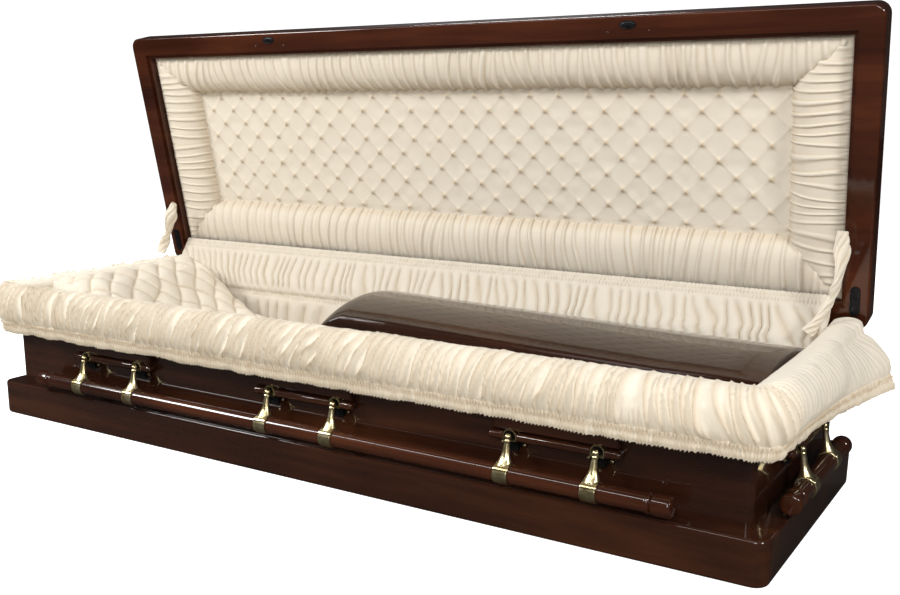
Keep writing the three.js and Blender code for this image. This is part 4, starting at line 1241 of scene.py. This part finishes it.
def sleeve(label, points):
    """A flat gathered sleeve of cloth around a stay, twisted once on its way."""
    path = curve(points, 150)
    run = run_along(path)[:, None]
    total = run[-1, 0]
    ahead = np.gradient(path, axis=0)
    ahead /= np.linalg.norm(ahead, axis=1, keepdims=True)
    side = np.cross(ahead, (0, 1, 0))
    side /= np.linalg.norm(side, axis=1, keepdims=True)
    front = np.cross(side, ahead)
    around = np.linspace(0, 2 * np.pi, 49)[None, :]
    twist = 1.5 * np.sin(np.pi * run / total - 0.4) + 0.3 * clouds(run, 0 * run, 0.05, 1, 121)
    pinch = 1 - 0.35 * np.exp(-((run - 0.62 * total) / 0.012) ** 2)
    fullness = 0.55 + 0.45 * np.sin(np.pi * np.clip(run / total, 0.12, 0.88))
    wide = (0.0185 + 0.0035 * clouds(run, 0 * run, 0.04, 1, 122)) * pinch * fullness
    deep = 0.0060 + 0.0015 * clouds(run, 0 * run, 0.04, 1, 123)
    a, b = wide * np.cos(around), deep * np.sin(around)
    c, s = np.cos(twist), np.sin(twist)
    ruffle = gathers(around * 0.0075, run, 0.0094, 124, 0.30, 0.5, 0.7, 0.5, 0.04)
    grid = (path[:, None] + side[:, None] * (a * c - b * s)[..., None] + front[:, None] * (a * s + b * c)[..., None])
    obj = cloth("stay_cloth_" + label, grid, (ruffle - 0.7) * 0.0035, 1 - (1 - ruffle) * 0.8)
    outward(obj)
    return dress(obj, [CREPE], "casket", ["stay_sleeve_" + label]), total


# All the pieces

bpy.ops.object.select_all(action="DESELECT")
studio()
WOOD, LID_WOOD, BAR_WOOD = timber("mahogany"), timber("mahogany_lid", True, 0.7), timber("mahogany_bar", False, 0.35)
INNER_WOOD = plain_wood("inner_wood")
BRASS = brass("pale_brass")
DARK_METAL = dark_metal("blackened_steel")
CREPE = crepe("ivory_crepe")
# Darker copies of the crepe: painted shade for the lid's lining and for the cloth inside the box.
LID_CREPE_SHADED = crepe("lid_crepe_painted_shade", 0.87)
INNER_CREPE_SHADED = crepe("inner_crepe_painted_shade", 0.82)

looks = {"polished_wood": WOOD[0], "inner_wood": INNER_WOOD, "polished_brass": BRASS, "dark_metal": DARK_METAL,
         "lining_cloth": CREPE}
for part in frame["record"]["subparts"]:
    node = nodes[part["node"]]
    node.data.materials.clear()
    node.data.materials.append(looks[part["material_slot"]])

moulding("base_moulding", "base_plinth", 0.030, 0.007)
walls()
moulding("rim_moulding", "rim_board", 0.021, 0.005)
handles()
foot_cover()
lid_frame()
lid_crown()
catches()

throw, frill = overthrow()
dress(throw, [CREPE], "casket", ["overthrow"])
dress(frill, [CREPE], "casket")
rolls = [dress(roll, [LID_CREPE_SHADED], "lid", ["lid_roll"]) for roll in lid_rolls()]
tufting = dress(tufted_panel(), [LID_CREPE_SHADED], "lid", ["lid_tufted_panel"])
rear = dress(rear_lining(), [INNER_CREPE_SHADED], "casket", ["rear_lining"])
sides = dress(side_lining(), [INNER_CREPE_SHADED], "casket", ["side_lining"])
mattress()
pillow()
head_sleeve, head_length = sleeve("head", [(-1.000, 0.282, 0.545), (-1.022, 0.285, 0.492), (-1.035, 0.284, 0.448),
                                           (-1.045, 0.258, 0.388)])
foot_sleeve, foot_length = sleeve("foot", [(1.018, 0.272, 0.583), (1.020, 0.280, 0.510), (1.008, 0.283, 0.440),
                                           (0.990, 0.264, 0.392), (0.968, 0.252, 0.356)])

for cloth_piece, anchor_z, keep in ((throw, HEM_Z, 0.76), (frill, HEM_Z, 0.76), (rear, 0.155, 0.70),
                                    (head_sleeve, 0.33, 0.08), (foot_sleeve, 0.33, 0.08)):
    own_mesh(cloth_piece)
